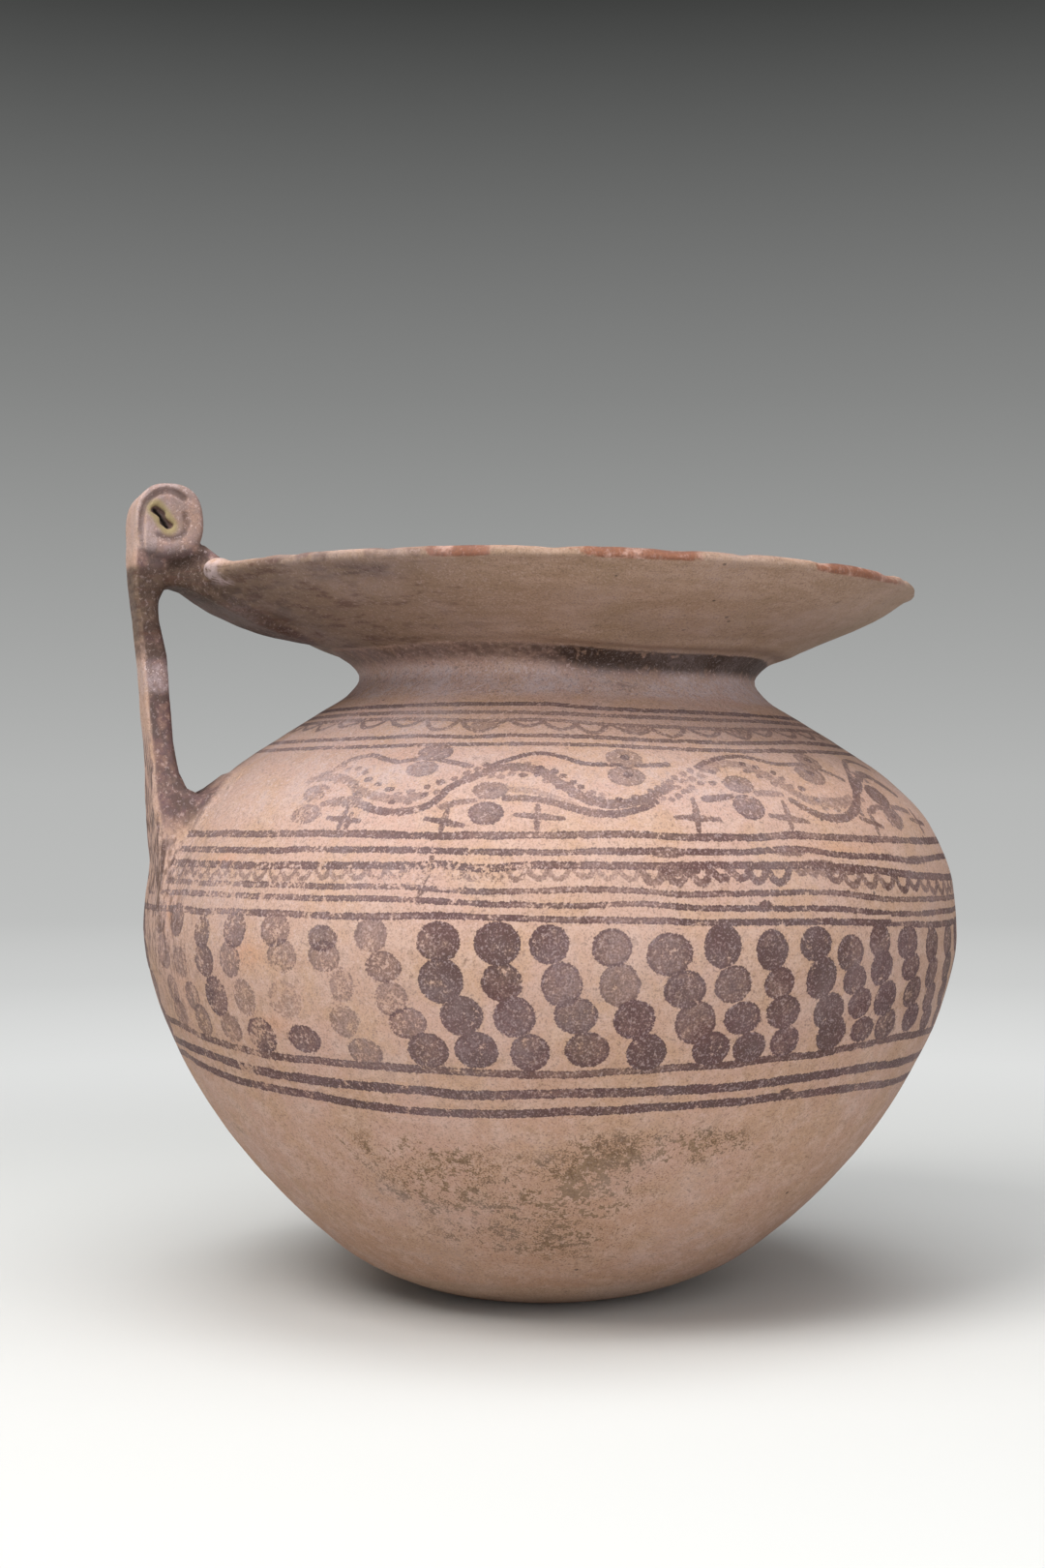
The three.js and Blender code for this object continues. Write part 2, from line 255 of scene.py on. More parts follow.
TONGUE_TOP = [(127.6, 231.0), (125.0, 231.4), (122.4, 231.6), (119.4, 232.0), (116.4, 232.2), (113.4, 232.4),
              (110.8, 231.8), (108.2, 229.8), (105.4, 227.6), (102.0, 219.0), (92.0, 212.0), (80.0, 208.0), (70.0, 207.0)]
TONGUE_LOW = [(127.6, 208.0), (125.0, 215.4), (122.4, 218.6), (119.6, 219.2), (116.2, 218.2), (112.6, 216.4),
              (109.0, 214.6), (105.8, 212.9), (102.0, 211.0), (97.0, 208.6), (92.0, 206.8), (86.0, 205.0), (80.0, 203.9), (75.0, 203.5), (70.0, 204.0)]
TONGUE_POLY = np.array(TONGUE_TOP + TONGUE_LOW[::-1])
TONGUE_W_TOP = Curve([(70, 12), (80, 17), (92, 24), (102, 29), (105.4, 28), (108.2, 27), (110.8, 24), (113.4, 22), (116.4, 20),
                      (119.4, 18.5), (122.4, 17), (125, 15.5), (127.6, 14)])
TONGUE_W_LOW = Curve([(70, 10), (80, 16), (86, 20), (92, 24), (97, 28), (102, 30), (105.8, 30), (109, 28), (112.6, 25),
                      (116.2, 21.5), (119.6, 19), (122.4, 17), (125, 15), (127.6, 13.5)])
TONGUE_Z_TOP = Curve(sorted(TONGUE_TOP))
TONGUE_Z_LOW = Curve(sorted(TONGUE_LOW))
ROLL_U, ROLL_Z, ROLL_A, ROLL_B, ROLL_HALF = 121.7, 238.5, 10.4, 11.5, 11.8
GROOVE_LONG = [(129.0, 226.2), (129.9, 229.2), (130.2, 232.6), (130.2, 236.4), (129.9, 240.2), (129.0, 243.2),
               (127.4, 245.4), (125.2, 246.8), (122.6, 247.4), (119.8, 246.8), (117.4, 245.2)]
GROOVE_SHORT = [(117.2, 240.4), (116.5, 237.5), (117.1, 235.1), (118.8, 233.6), (121.0, 232.9), (123.2, 233.1),
                (125.2, 234.1)]
SLIT = [(125.9, 241.9), (124.6, 240.4), (123.4, 238.6), (122.2, 236.9)]


def polygon(u, z, poly):
    """Signed distance to a closed polygon, below 0 inside."""
    best = np.full(u.shape, 1e9)
    inside = np.zeros(u.shape, bool)
    n = len(poly)
    for i in range(n):
        ax, az = poly[i]
        bx, bz = poly[(i + 1) % n]
        ex, ez = bx - ax, bz - az
        wx, wz = u - ax, z - az
        t = np.clip((wx * ex + wz * ez) / (ex * ex + ez * ez), 0, 1)
        best = np.minimum(best, (wx - t * ex) ** 2 + (wz - t * ez) ** 2)
        if az != bz:
            cross = (az > z) != (bz > z)
            inside ^= cross & (u < ax + ex * (z - az) / ez)
    return np.where(inside, -1, 1) * np.sqrt(best)


def swept(d2, dy, soft):
    """A flat outline (distance d2) given thickness (dy beyond its face), with rounded edges."""
    a, b = d2 + soft, dy + soft
    return np.minimum(np.maximum(a, b), 0) + np.hypot(np.maximum(a, 0), np.maximum(b, 0)) - soft


def join(a, b, k):
    h = np.clip(.5 + .5 * (b - a) / k, 0, 1)
    return b + (a - b) * h - k * h * (1 - h)


def carve(a, b, k):
    """a with b taken away, edge softened."""
    return -join(-a, b, k)


def roll_outline(u, z):
    a, b = (u - ROLL_U) / ROLL_A, (z - ROLL_Z) / ROLL_B
    q = (np.abs(a) ** 2.44 + np.abs(b) ** 2.44) ** (1 / 2.44)
    return (q - 1) * (ROLL_A + ROLL_B) / 2 * .96


def handle(p):
    """Signed distance, roughly, to the handle alone."""
    u, y, z = -p[:, 0], p[:, 1], p[:, 2]
    ay = np.abs(y)
    wob = .28 * noise(p, 9, 21) + .13 * noise(p, 3.6, 22)
    # strap
    c = np.clip((u - STRAP_U_IN(z)) / np.maximum(STRAP_U_OUT(z) - STRAP_U_IN(z), 1), 0, 1)
    w = STRAP_W_IN(z) * (1 - c) + STRAP_W_OUT(z) * c
    d2 = polygon(u, z, STRAP_POLY)
    strap = swept(d2, (ay - w / 2) * .94, 2.9)
    # tongue
    zt, zl = TONGUE_Z_TOP(u), TONGUE_Z_LOW(u)
    c = np.clip((z - zl) / np.maximum(zt - zl, 1), 0, 1)
    w = TONGUE_W_LOW(u) * (1 - c) + TONGUE_W_TOP(u) * c
    tongue = swept(polygon(u, z, TONGUE_POLY), (ay - w / 2) * .8, 3.2)
    # the roll, a little dished on its ends, with the outer turn standing round it
    core = roll_outline(u, z)
    face = ay - ROLL_HALF
    dish = .55 * step(core, -2.0, -8.0)
    roll = swept(core, face + dish, 2.0)
    body = join(strap, tongue, 3.2)
    body = join(body, roll, 1.3)
    for path, width, deep in ((GROOVE_LONG, .85, 1.0), (GROOVE_SHORT, .75, .8)):
        line = _path(u, z, path)
        cut = np.hypot(line / width, (face + .25) / deep) - 1
        body = carve(body, cut * width, .45)
    slit = _path(u, z, SLIT)
    slit = np.maximum(slit - 1.0 - .35 * np.sin(z * 1.7), -(face + 4.6))
    body = carve(body, slit, .7)
    return body + wob * .8 + .12


def _path(u, z, path):
    best = np.full(u.shape, 1e9)
    for i in range(len(path) - 1):
        (ax, az), (bx, bz) = path[i], path[i + 1]
        ex, ez = bx - ax, bz - az
        wx, wz = u - ax, z - az
        t = np.clip((wx * ex + wz * ez) / (ex * ex + ez * ez), 0, 1)
        best = np.minimum(best, np.hypot(wx - t * ex, wz - t * ez))
    return best


def wall_polygon():
    """The wall's section in (radius, height), from the belly up over the lip and down inside."""
    pts = []
    for s in np.linspace(arc(84), ARC_END, 46):
        z = arc_z(s)
        pts.append((float(OUTSIDE(z)), float(z)))
    for a in np.linspace(-.35, math.pi - .2, 9):
        pts.append((LIP_R + LIP_HALF * math.cos(a), LIP_Z + LIP_HALF * math.sin(a)))
    for s in np.linspace(arc(214.5), arc(84), 26):
        z = arc_z(s)
        nr, nz = normal2(z)
        t = WALL(z)
        pts.append((float(OUTSIDE(z) - nr * t), float(z - nz * t)))
    return np.array(pts)


WALL_POLY = wall_polygon()


def shell(p):
    """Signed distance, nearly, to the vessel's wall."""
    th, r, z = unplace(p)
    return polygon(r, z, WALL_POLY)


MID_POLY = np.array([(OUTSIDE(z) - normal2(z)[0] * WALL(z) * .55, z - normal2(z)[1] * WALL(z) * .55)
                     for z in np.linspace(90, 214, 40)] + [(103.5, 218.0), (103.5, 270.0), (0.0, 270.0), (0.0, 90.0)])

SHRINK = .05


def grip(p):
    """The handle with its clay smeared on to the vessel, as a closed form that dips just under the vessel's skin."""
    h, v = handle(p), shell(p)
    z = p[:, 2]
    k = 5.0 - 1.5 * step(z, 190, 215)
    lumps = np.full(len(p), 1e3)
    for cu, cy, cz, rr in LUMPS:
        q = np.sqrt(((-p[:, 0] - cu) / 1.25) ** 2 + ((p[:, 1] - cy) / 1.5) ** 2 + (p[:, 2] - cz) ** 2)
        lumps = np.minimum(lumps, q - rr)
    h = join(h, lumps, 2.0)
    near = np.maximum(join(h, v, k) + SHRINK, h - k - 1.0)
    th, r, zs = unplace(p)
    return np.maximum(near, -polygon(r, zs, MID_POLY))


LUMPS = [(108.8, -18.5, 223.4, 3.3), (106.6, -21.0, 222.6, 2.6), (107.8, 18.0, 223.2, 3.0)]


def nets(f, X, Y, Z):
    """Quads of the zero surface of f sampled on a grid: one vertex in each cell that it crosses."""
    inside = f < 0
    total = np.zeros(tuple(n - 1 for n in f.shape) + (3,))
    count = np.zeros(tuple(n - 1 for n in f.shape))
    grids = (X, Y, Z)
    crossings = []
    for ax in range(3):
        lo = [slice(None)] * 3
        hi = [slice(None)] * 3
        lo[ax], hi[ax] = slice(0, -1), slice(1, None)
        a, b = f[tuple(lo)], f[tuple(hi)]
        cross = inside[tuple(lo)] != inside[tuple(hi)]
        idx = np.argwhere(cross)
        fa, fb = a[cross], b[cross]
        t = fa / (fa - fb)
        pos = np.stack([grids[c][idx[:, c]] for c in range(3)], -1)
        pos[:, ax] += t * (grids[ax][idx[:, ax] + 1] - grids[ax][idx[:, ax]])
        o1, o2 = [c for c in range(3) if c != ax]
        for s1 in (-1, 0):
            for s2 in (-1, 0):
                cell = idx.copy()
                cell[:, o1] += s1
                cell[:, o2] += s2
                ok = np.all((cell >= 0) & (cell < np.array(count.shape)), 1)
                np.add.at(total, tuple(cell[ok].T), pos[ok])
                np.add.at(count, tuple(cell[ok].T), 1)
        crossings.append((ax, idx, inside[tuple(lo)][cross]))
    active = count > 0
    number = np.full(count.shape, -1)
    number[active] = np.arange(active.sum())
    verts = total[active] / count[active][:, None]
    quads = []
    for ax, idx, first in crossings:
        o1, o2 = (ax + 1) % 3, (ax + 2) % 3
        ring = []
        for s1, s2 in ((-1, -1), (0, -1), (0, 0), (-1, 0)):
            cell = idx.copy()
            cell[:, o1] += s1
            cell[:, o2] += s2
            ring.append(number[tuple(cell.T)])
        q = np.stack(ring, -1)
        q[~first] = q[~first][:, ::-1]
        quads.append(q)
    return verts, np.concatenate(quads)


def settle_on(p, fn, rounds=3, e=.12):
    """Moves points on to the zero surface of fn."""
    for _ in range(rounds):
        f = fn(p)
        g = np.stack([(fn(p + d) - fn(p - d)) / (2 * e) for d in np.eye(3) * e], -1)
        g2 = np.maximum((g ** 2).sum(1), .15)
        move = -(f / g2)[:, None] * g
        size = np.linalg.norm(move, axis=1, keepdims=True)
        p = p + move * np.minimum(1, .35 / np.maximum(size, 1e-9))
    return p


def spaced(stops):
    """Grid lines from (start, spacing) stops to the last start."""
    out = []
    for (a, h), (b, _) in zip(stops[:-1], stops[1:]):
        n = max(1, round((b - a) / h))
        out += [a + (b - a) * i / n for i in range(n)]
    return np.array(out + [stops[-1][0]])


def make_grip():
    fine = 1.08
    U = spaced([(60, 2.0 * fine), (80, 1.6 * fine), (94, .95 * fine), (110, .66 * fine), (136.5, 1)])
    Y = spaced([(-33, 1.3 * fine), (-14, .8 * fine), (14, 1.3 * fine), (33, 1)])
    Z = spaced([(100, 1.35 * fine), (150, 1.1 * fine), (168, 1.6 * fine), (206, 1.0 * fine), (224, .62 * fine), (252.5, 1)])
    X = -U[::-1]
    gx, gy, gz = np.meshgrid(X, Y, Z, indexing="ij")
    f = grip(np.stack([gx.ravel(), gy.ravel(), gz.ravel()], -1)).reshape(gx.shape)
    verts, quads = nets(f, X, Y, Z)
    verts = settle_on(verts, grip)
    return verts, quads


def make_vessel():
    """The vessel as rings of vertices. Each ring has 1, 48, 96, 192 or 384, and one joins to the next."""
    most = 384
    rings = [(0, 0, 1), (5, 0, 48), (11, 0, 96), (18, 0, min(192, most)), (24, 0, min(192, most))]
    rows = []

    def gap(z):
        if z < 11:
            return 2.4
        if z < 188:
            return 2.12
        if z < 194:
            return 1.5
        if z < 205:
            return .9
        return 2.1
    s = 1.0
    while s < ARC_END - .6:
        z = float(arc_z(s))
        rows.append((float(OUTSIDE(z)), z, "out"))
        s += gap(z) * 1
    rows.append((float(OUTSIDE(TOP_Z)), TOP_Z, "out"))
    outer = len(rows)
    lip = []
    for a in np.linspace(-.35, math.pi - .2, 10):
        lip.append((LIP_R + LIP_HALF * math.cos(a), LIP_Z + LIP_HALF * math.sin(a), a))
    inner = []
    s = arc(214.5)
    while s > arc(6):
        z = float(arc_z(s))
        nr, nz = normal2(z)
        t = float(WALL(z))
        inner.append((float(OUTSIDE(z) - nr * t), float(z - nz * t), "in"))
        s -= (2.8 if z > 186 else 6.0)
    verts, ring_of = [], []
    th_of = {n: -math.pi + 2 * math.pi * np.arange(n) / n for n in (1, 48, 96, 192, 384)}

    def add(r, z, n, kind, nr=0.0, nz=0.0, a=0.0):
        th = th_of[n]
        rr, zz = np.full(n, r, float), np.full(n, z, float)
        if kind == "out":
            flat = place(th, rr, zz)
            near = np.full(n, 99.0)
            close = flat[:, 0] < -60
            if close.any():
                near[close] = handle(flat[close])
            d = relief(th, rr, zz, near)
            rr, zz = rr + nr * d, zz + nz * d
        elif kind == "lip":
            flat = place(th, rr, zz)
            near = np.full(n, 99.0)
            close = flat[:, 0] < -60
            near[close] = handle(flat[close])
            d = lip_relief(th, np.full(n, a)) * step(near, 1.5, 9)
            rr, zz = rr + math.cos(a) * d, zz + math.sin(a) * d
        elif kind == "in":
            p = np.stack([rr * np.cos(th), rr * np.sin(th), zz], -1)
            d = (.35 * noise(p, 30, 31) + .2 * noise(p, 11, 32)) * step(rr, 0, 30)
            d = d * (1 - .7 * step(zz, 216, 220))
            rr, zz = rr - nr * d, zz - nz * d
        ring_of.append((len(verts) and sum(len(v) for v in verts) or 0, n))
        verts.append(place(th, rr, zz))

    for r, z, n in rings:
        add(r, z, n, "flat")
    for i, (r, z, kind) in enumerate(rows):
        nr, nz = normal2(z)
        n = min(192, most) if z < 12 else most
        add(r, z, n, "out", float(nr), float(nz))
    for r, z, a in lip:
        add(r, z, most, "lip", a=a)
    for r, z, kind in inner:
        add(r, z, min(192, most) if z > 20 else 96, "in", 1.0, 0.0)
    lr, lz, _ = inner[-1]
    for f, n in ((.78, 96), (.55, 96), (.3, 48), (.12, 48)):
        add(lr * f, 8.5 + .9 * step(f, 0, .55) + (lz - 9.4) * step(f, .55, 1.0), n, "flat")
    add(0, 8.5, 1, "flat")
    verts = np.concatenate(verts)
    faces = []
    for (a0, na), (b0, nb) in zip(ring_of[:-1], ring_of[1:]):
        if na == nb:
            j = np.arange(na)
            k = (j + 1) % na
            faces += np.stack([a0 + j, a0 + k, b0 + k, b0 + j], -1).tolist()
        elif na == 1:
            j = np.arange(nb)
            faces += np.stack([np.full(nb, a0), b0 + (j + 1) % nb, b0 + j], -1).tolist()
        elif nb == 1:
            j = np.arange(na)
            faces += np.stack([a0 + j, a0 + (j + 1) % na, np.full(na, b0)], -1).tolist()
        elif nb == 2 * na:
            for j in range(na):
                a, a2 = a0 + j, a0 + (j + 1) % na
                b, m, b2 = b0 + 2 * j, b0 + 2 * j + 1, b0 + (2 * j + 2) % nb
                faces += [[a, m, b], [a, a2, m], [a2, b2, m]]
        elif na == 2 * nb:
            for j in range(nb):
                b, b2 = b0 + j, b0 + (j + 1) % nb
                a, m, a2 = a0 + 2 * j, a0 + 2 * j + 1, a0 + (2 * j + 2) % na
                faces += [[a, m, b], [m, b2, b], [m, a2, b2]]
        else:
            raise RuntimeError("rings of %d and %d do not join" % (na, nb))
    # the first ring is the underside's centre, so the outside faces out as built
    return verts, faces


def mesh_object(name, verts, faces):
    m = bpy.data.meshes.new(name)
    m.from_pydata(verts.tolist(), [], faces if isinstance(faces, list) else faces.tolist())
    m.update()
    o = bpy.data.objects.new(name, m)
    bpy.context.scene.collection.objects.link(o)
    return o


def united(a, b):
    """The union of two closed meshes, as a new mesh."""
    for solver in ("MANIFOLD", "EXACT"):
        mod = a.modifiers.new("union", "BOOLEAN")
        mod.operation = "UNION"
        mod.object = b
        mod.solver = solver
        bpy.context.view_layer.update()
        dg = bpy.context.evaluated_depsgraph_get()
        m = bpy.data.meshes.new_from_object(a.evaluated_get(dg))
        a.modifiers.remove(mod)
        if len(m.polygons) > len(a.data.polygons) // 2 and len(m.vertices) != len(a.data.vertices):
            print("union by", solver, len(m.vertices), "vertices", len(m.polygons), "faces")
            return m
    raise RuntimeError("the union failed")


vessel_v, vessel_f = make_vessel()
grip_v, grip_q = make_grip()
vessel_o = mesh_object("vessel_work", vessel_v, vessel_f)
grip_o = mesh_object("grip_work", grip_v, grip_q)
mesh = united(vessel_o, grip_o)
for o in (vessel_o, grip_o):
    old = o.data
    bpy.data.objects.remove(o)
    bpy.data.meshes.remove(old)

jug = bpy.data.objects.new("painted_jug", mesh)
bpy.context.scene.collection.objects.link(jug)
mesh.name = "painted_jug"

P = np.zeros(len(mesh.vertices) * 3)
mesh.vertices.foreach_get("co", P)
P = P.reshape(-1, 3)
print("span", P.min(0).round(2), P.max(0).round(2))

# ---------------------------------------------------------------- to metres
lo = np.array(CAD_BOX[0]) * 1000 + .01
hi = np.array(CAD_BOX[1]) * 1000 - .01
clipped = np.clip(P, lo, hi)
print("clipped by at most", np.abs(clipped - P).max().round(3))
mesh.vertices.foreach_set("co", (clipped / 1000).ravel())
mesh.polygons.foreach_set("use_smooth", np.ones(len(mesh.polygons), bool))
mesh.update()

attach(jug, "root")
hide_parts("jug")

# ============================================================== the painting
# Brushed marks, each an ellipse or a short round-ended stroke, laid out in
# degrees round the jug and millimetres of height. Every face of the mesh keeps
# the marks nearest to it in the marks' own coordinates, and the material turns
# those into paint.

ROUND = 360.0


def ringed(points, back=()):
    """A height that varies round the jug, from (angle, height) pairs, periodic."""
    pts = sorted([(a, h) for a, h in points] + [(a, h) for a, h in back])
    return Curve([(a - ROUND, h) for a, h in pts[-3:]] + pts + [(a + ROUND, h) for a, h in pts[:3]])


def shade_back(points):
    """A few heights for the hidden side, carried on from the seen ends."""
    first, last = points[0], points[-1]
    mid = sum(h for _, h in points) / len(points)
    a0, a1 = last[0], first[0] + ROUND
    return [(a0 + (a1 - a0) * f, mid * k + (last[1] * (1 - f) + first[1] * f) * (1 - k) + w)
            for f, k, w in ((.22, .55, .35), (.45, .9, -.5), (.68, .8, .45), (.86, .4, -.2))]


# name, half width (height units), opacity, brownness, (angle, height) as the brush went
BANDS = [
    ("low3", .95, .95, .30, [(-178, 76), (-172, 74.5), (-165, 73), (-160, 72), (-155, 71.5), (-150, 71), (-145, 70.6), (-140, 70), (-135, 69.2), (-130, 68.6), (-125, 68.4), (-120, 68.4), (-115, 68.6), (-110, 69), (-105, 69.8), (-100, 70), (-95, 70.8), (-90, 71.2), (-85, 71.6), (-80, 71.9), (-75, 72.6), (-70, 72.8), (-65, 73), (-60, 73.2), (-55, 72.9), (-50, 72.6), (-40, 72.6)]),
    ("low2", 1.05, .95, .25, [(-178, 79.8), (-170, 79.2), (-165, 78.6), (-160, 77.5), (-156, 76.3), (-152, 75.8), (-145, 75.4), (-140, 75), (-135, 74.8), (-130, 74.6), (-125, 74.5), (-120, 73.8), (-115, 74), (-110, 74.6), (-105, 75), (-100, 75.2), (-95, 75.6), (-90, 75.9), (-85, 76), (-80, 76.6), (-75, 77.4), (-70, 78), (-65, 78.4), (-60, 79), (-55, 79), (-50, 78.8), (-40, 79)]),
    ("low1", .85, .85, .35, [(-176, 86.6), (-165, 84), (-160, 83), (-155, 82), (-150, 81.2), (-145, 81), (-140, 80.9), (-130, 80.8), (-120, 80.5), (-110, 80), (-105, 80.3), (-100, 81.3), (-95, 81.8), (-90, 82.5), (-85, 82.6), (-80, 83.6), (-75, 84.2), (-70, 84.5), (-65, 85.5), (-60, 86.3), (-55, 86.9), (-50, 87.2), (-40, 86.8)]),
    ("mid6", .75, .9, .15, [(-176, 120.4), (-165, 121), (-160, 120.7), (-155, 121.3), (-148, 121.5), (-136, 121.7), (-130, 121.9), (-124, 122.4), (-118, 122.6), (-106, 122.3), (-95, 122.2), (-90, 121.8), (-84, 122), (-72, 121.9), (-66, 121.4), (-60, 121), (-55, 120.6), (-50, 119.9), (-44, 119.6), (-36, 119.8)]),
    ("mid5", .65, .85, .2, [(-176, 125.2), (-165, 125.8), (-153, 126), (-138, 126.3), (-132, 126.7), (-120, 126.3), (-114, 125.9), (-102, 126.2), (-98, 126.6), (-94, 126.2), (-88, 125.6), (-75, 125.6), (-68, 125), (-62, 124), (-56, 123.4), (-50, 123.2), (-36, 123.4)]),
    ("mid4", .65, .8, .3, [(-176, 128.8), (-160, 128.9), (-150, 129.4), (-138, 129.6), (-128, 130), (-118, 129.4), (-113, 129.5), (-104, 130.3), (-97, 130), (-92, 129.2), (-85, 129.5), (-74, 130), (-70, 129.6), (-65, 128.8), (-60, 127.8), (-50, 127.3), (-36, 127.1)]),
    ("mid3", .85, .95, .4, [(-176, 134.2), (-162, 134.4), (-150, 134.5), (-145, 134.8), (-138, 135.3), (-125, 135.9), (-122, 136.3), (-117, 135.6), (-110, 136.6), (-100, 136.7), (-88, 137), (-72, 137.3), (-68, 136.6), (-62, 136), (-56, 135), (-50, 134.2), (-36, 133.2)]),
    ("mid2", .7, .9, .3, [(-176, 138.3), (-162, 138.6), (-148, 138.9), (-141, 139.5), (-126, 139.9), (-110, 139.9), (-100, 140.6), (-85, 140.6), (-80, 141.2), (-76, 141.6), (-72, 141.2), (-66, 140), (-60, 139.7), (-54, 138.8), (-50, 138.4), (-44, 139), (-36, 139.4)]),
    ("mid1", .8, .85, .45, [(-176, 142.8), (-162, 143.2), (-148, 143.6), (-134, 144), (-126, 143.8), (-118, 144.2), (-108, 144.6), (-98, 145.2), (-90, 144.6), (-84, 144.6), (-74, 145.4), (-66, 144.9), (-56, 144.5), (-36, 144.2)]),
    ("top5", .42, .85, .25, [(-176, 168.4), (-148, 168.7), (-142, 168.9), (-134, 169.2), (-126, 169.5), (-110, 169.9), (-100, 169.9), (-94, 169.5), (-82, 169.1), (-74, 169.2), (-66, 169.6), (-58, 169.9), (-45, 170.2)]),
    ("top4", .45, .9, .3, [(-176, 170.9), (-148, 171.3), (-134, 172), (-124, 171.8), (-116, 172.4), (-104, 172.3), (-96, 171.9), (-90, 171.5), (-76, 171.5), (-66, 172), (-56, 172.6), (-45, 172.6)]),
    ("top3", .40, .7, .2, [(-176, 177.0), (-144, 177.3), (-134, 177.2), (-124, 176.8), (-116, 177), (-110, 177.1), (-104, 176.6), (-98, 176), (-88, 175.8), (-78, 175.6), (-66, 176.1), (-45, 176.8)]),
    ("top2", .45, .75, .2, [(-176, 179.0), (-142, 179.3), (-118, 179.4), (-100, 178.8), (-88, 178.5), (-74, 178.4), (-64, 178.8), (-45, 179)]),
    ("top1", .48, .9, .25, [(-176, 181.2), (-148, 181.5), (-126, 182), (-112, 182.1), (-98, 180.9), (-90, 180.7), (-72, 180.6), (-60, 180.6), (-45, 180.9)]),
]
BAND = {name: ringed(pts, shade_back(pts)) for name, _, _, _, pts in BANDS}

marks = []  # angle, height, tilt, half length, half width, stroke length, opacity, brownness


def slope_len(z):
    return 1 / np.maximum(normal2(np.asarray(z, float))[0], .2)


def dot(at, z, half_deg, half_z, opacity=.9, brown=.2, tilt=0.0):
    marks.append((at, z, tilt, math.radians(half_deg) * float(OUTSIDE(z)), half_z * float(slope_len(z)), 0.0, opacity, brown))


def smooth_path(points, gap):
    """Catmull-Rom through (angle, height) points, cut to pieces about gap mm long."""
    p = np.array(points, float)
    if len(p) == 2:
        dense = p[0] + (p[1] - p[0]) * np.linspace(0, 1, 9)[:, None]
    else:
        e = np.concatenate([[2 * p[0] - p[1]], p, [2 * p[-1] - p[-2]]])
        out = []
        for i in range(1, len(e) - 2):
            t = np.linspace(0, 1, 8, endpoint=False)[:, None]
            a, b, c, d = e[i - 1], e[i], e[i + 1], e[i + 2]
            out.append(.5 * (2 * b + (c - a) * t + (2 * a - 5 * b + 4 * c - d) * t ** 2 + (3 * b - a - 3 * c + d) * t ** 3))
        dense = np.concatenate(out + [p[-1:]])
    x = np.radians(dense[:, 0]) * OUTSIDE(dense[:, 1])
    y = arc(dense[:, 1])
    s = np.concatenate([[0], np.cumsum(np.hypot(np.diff(x), np.diff(y)))])
    n = max(1, round(s[-1] / gap))
    q = np.linspace(0, s[-1], n + 1)
    return np.stack([np.interp(q, s, dense[:, 0]), np.interp(q, s, dense[:, 1])], -1)


def stroke(points, width, opacity=.85, brown=.2, gap=2.4, shift=0.0):
    """A brushed line. width is its half width in mm, one number or (start, middle, end)."""
    p = smooth_path(points, gap)
    n = len(p) - 1
    w = np.interp(np.linspace(0, 1, n), [0, .5, 1], width if isinstance(width, tuple) else (width,) * 3)
    for i in range(n):
        (a0, z0), (a1, z1) = p[i], p[i + 1]
        zm = (z0 + z1) / 2
        dx = math.radians(a1 - a0) * float(OUTSIDE(zm))
        dy = float(arc(z1) - arc(z0))
        marks.append((a0 + shift, z0, math.atan2(dy, dx), w[i], w[i], math.hypot(dx, dy), opacity, brown))


rng = np.random.default_rng(7)

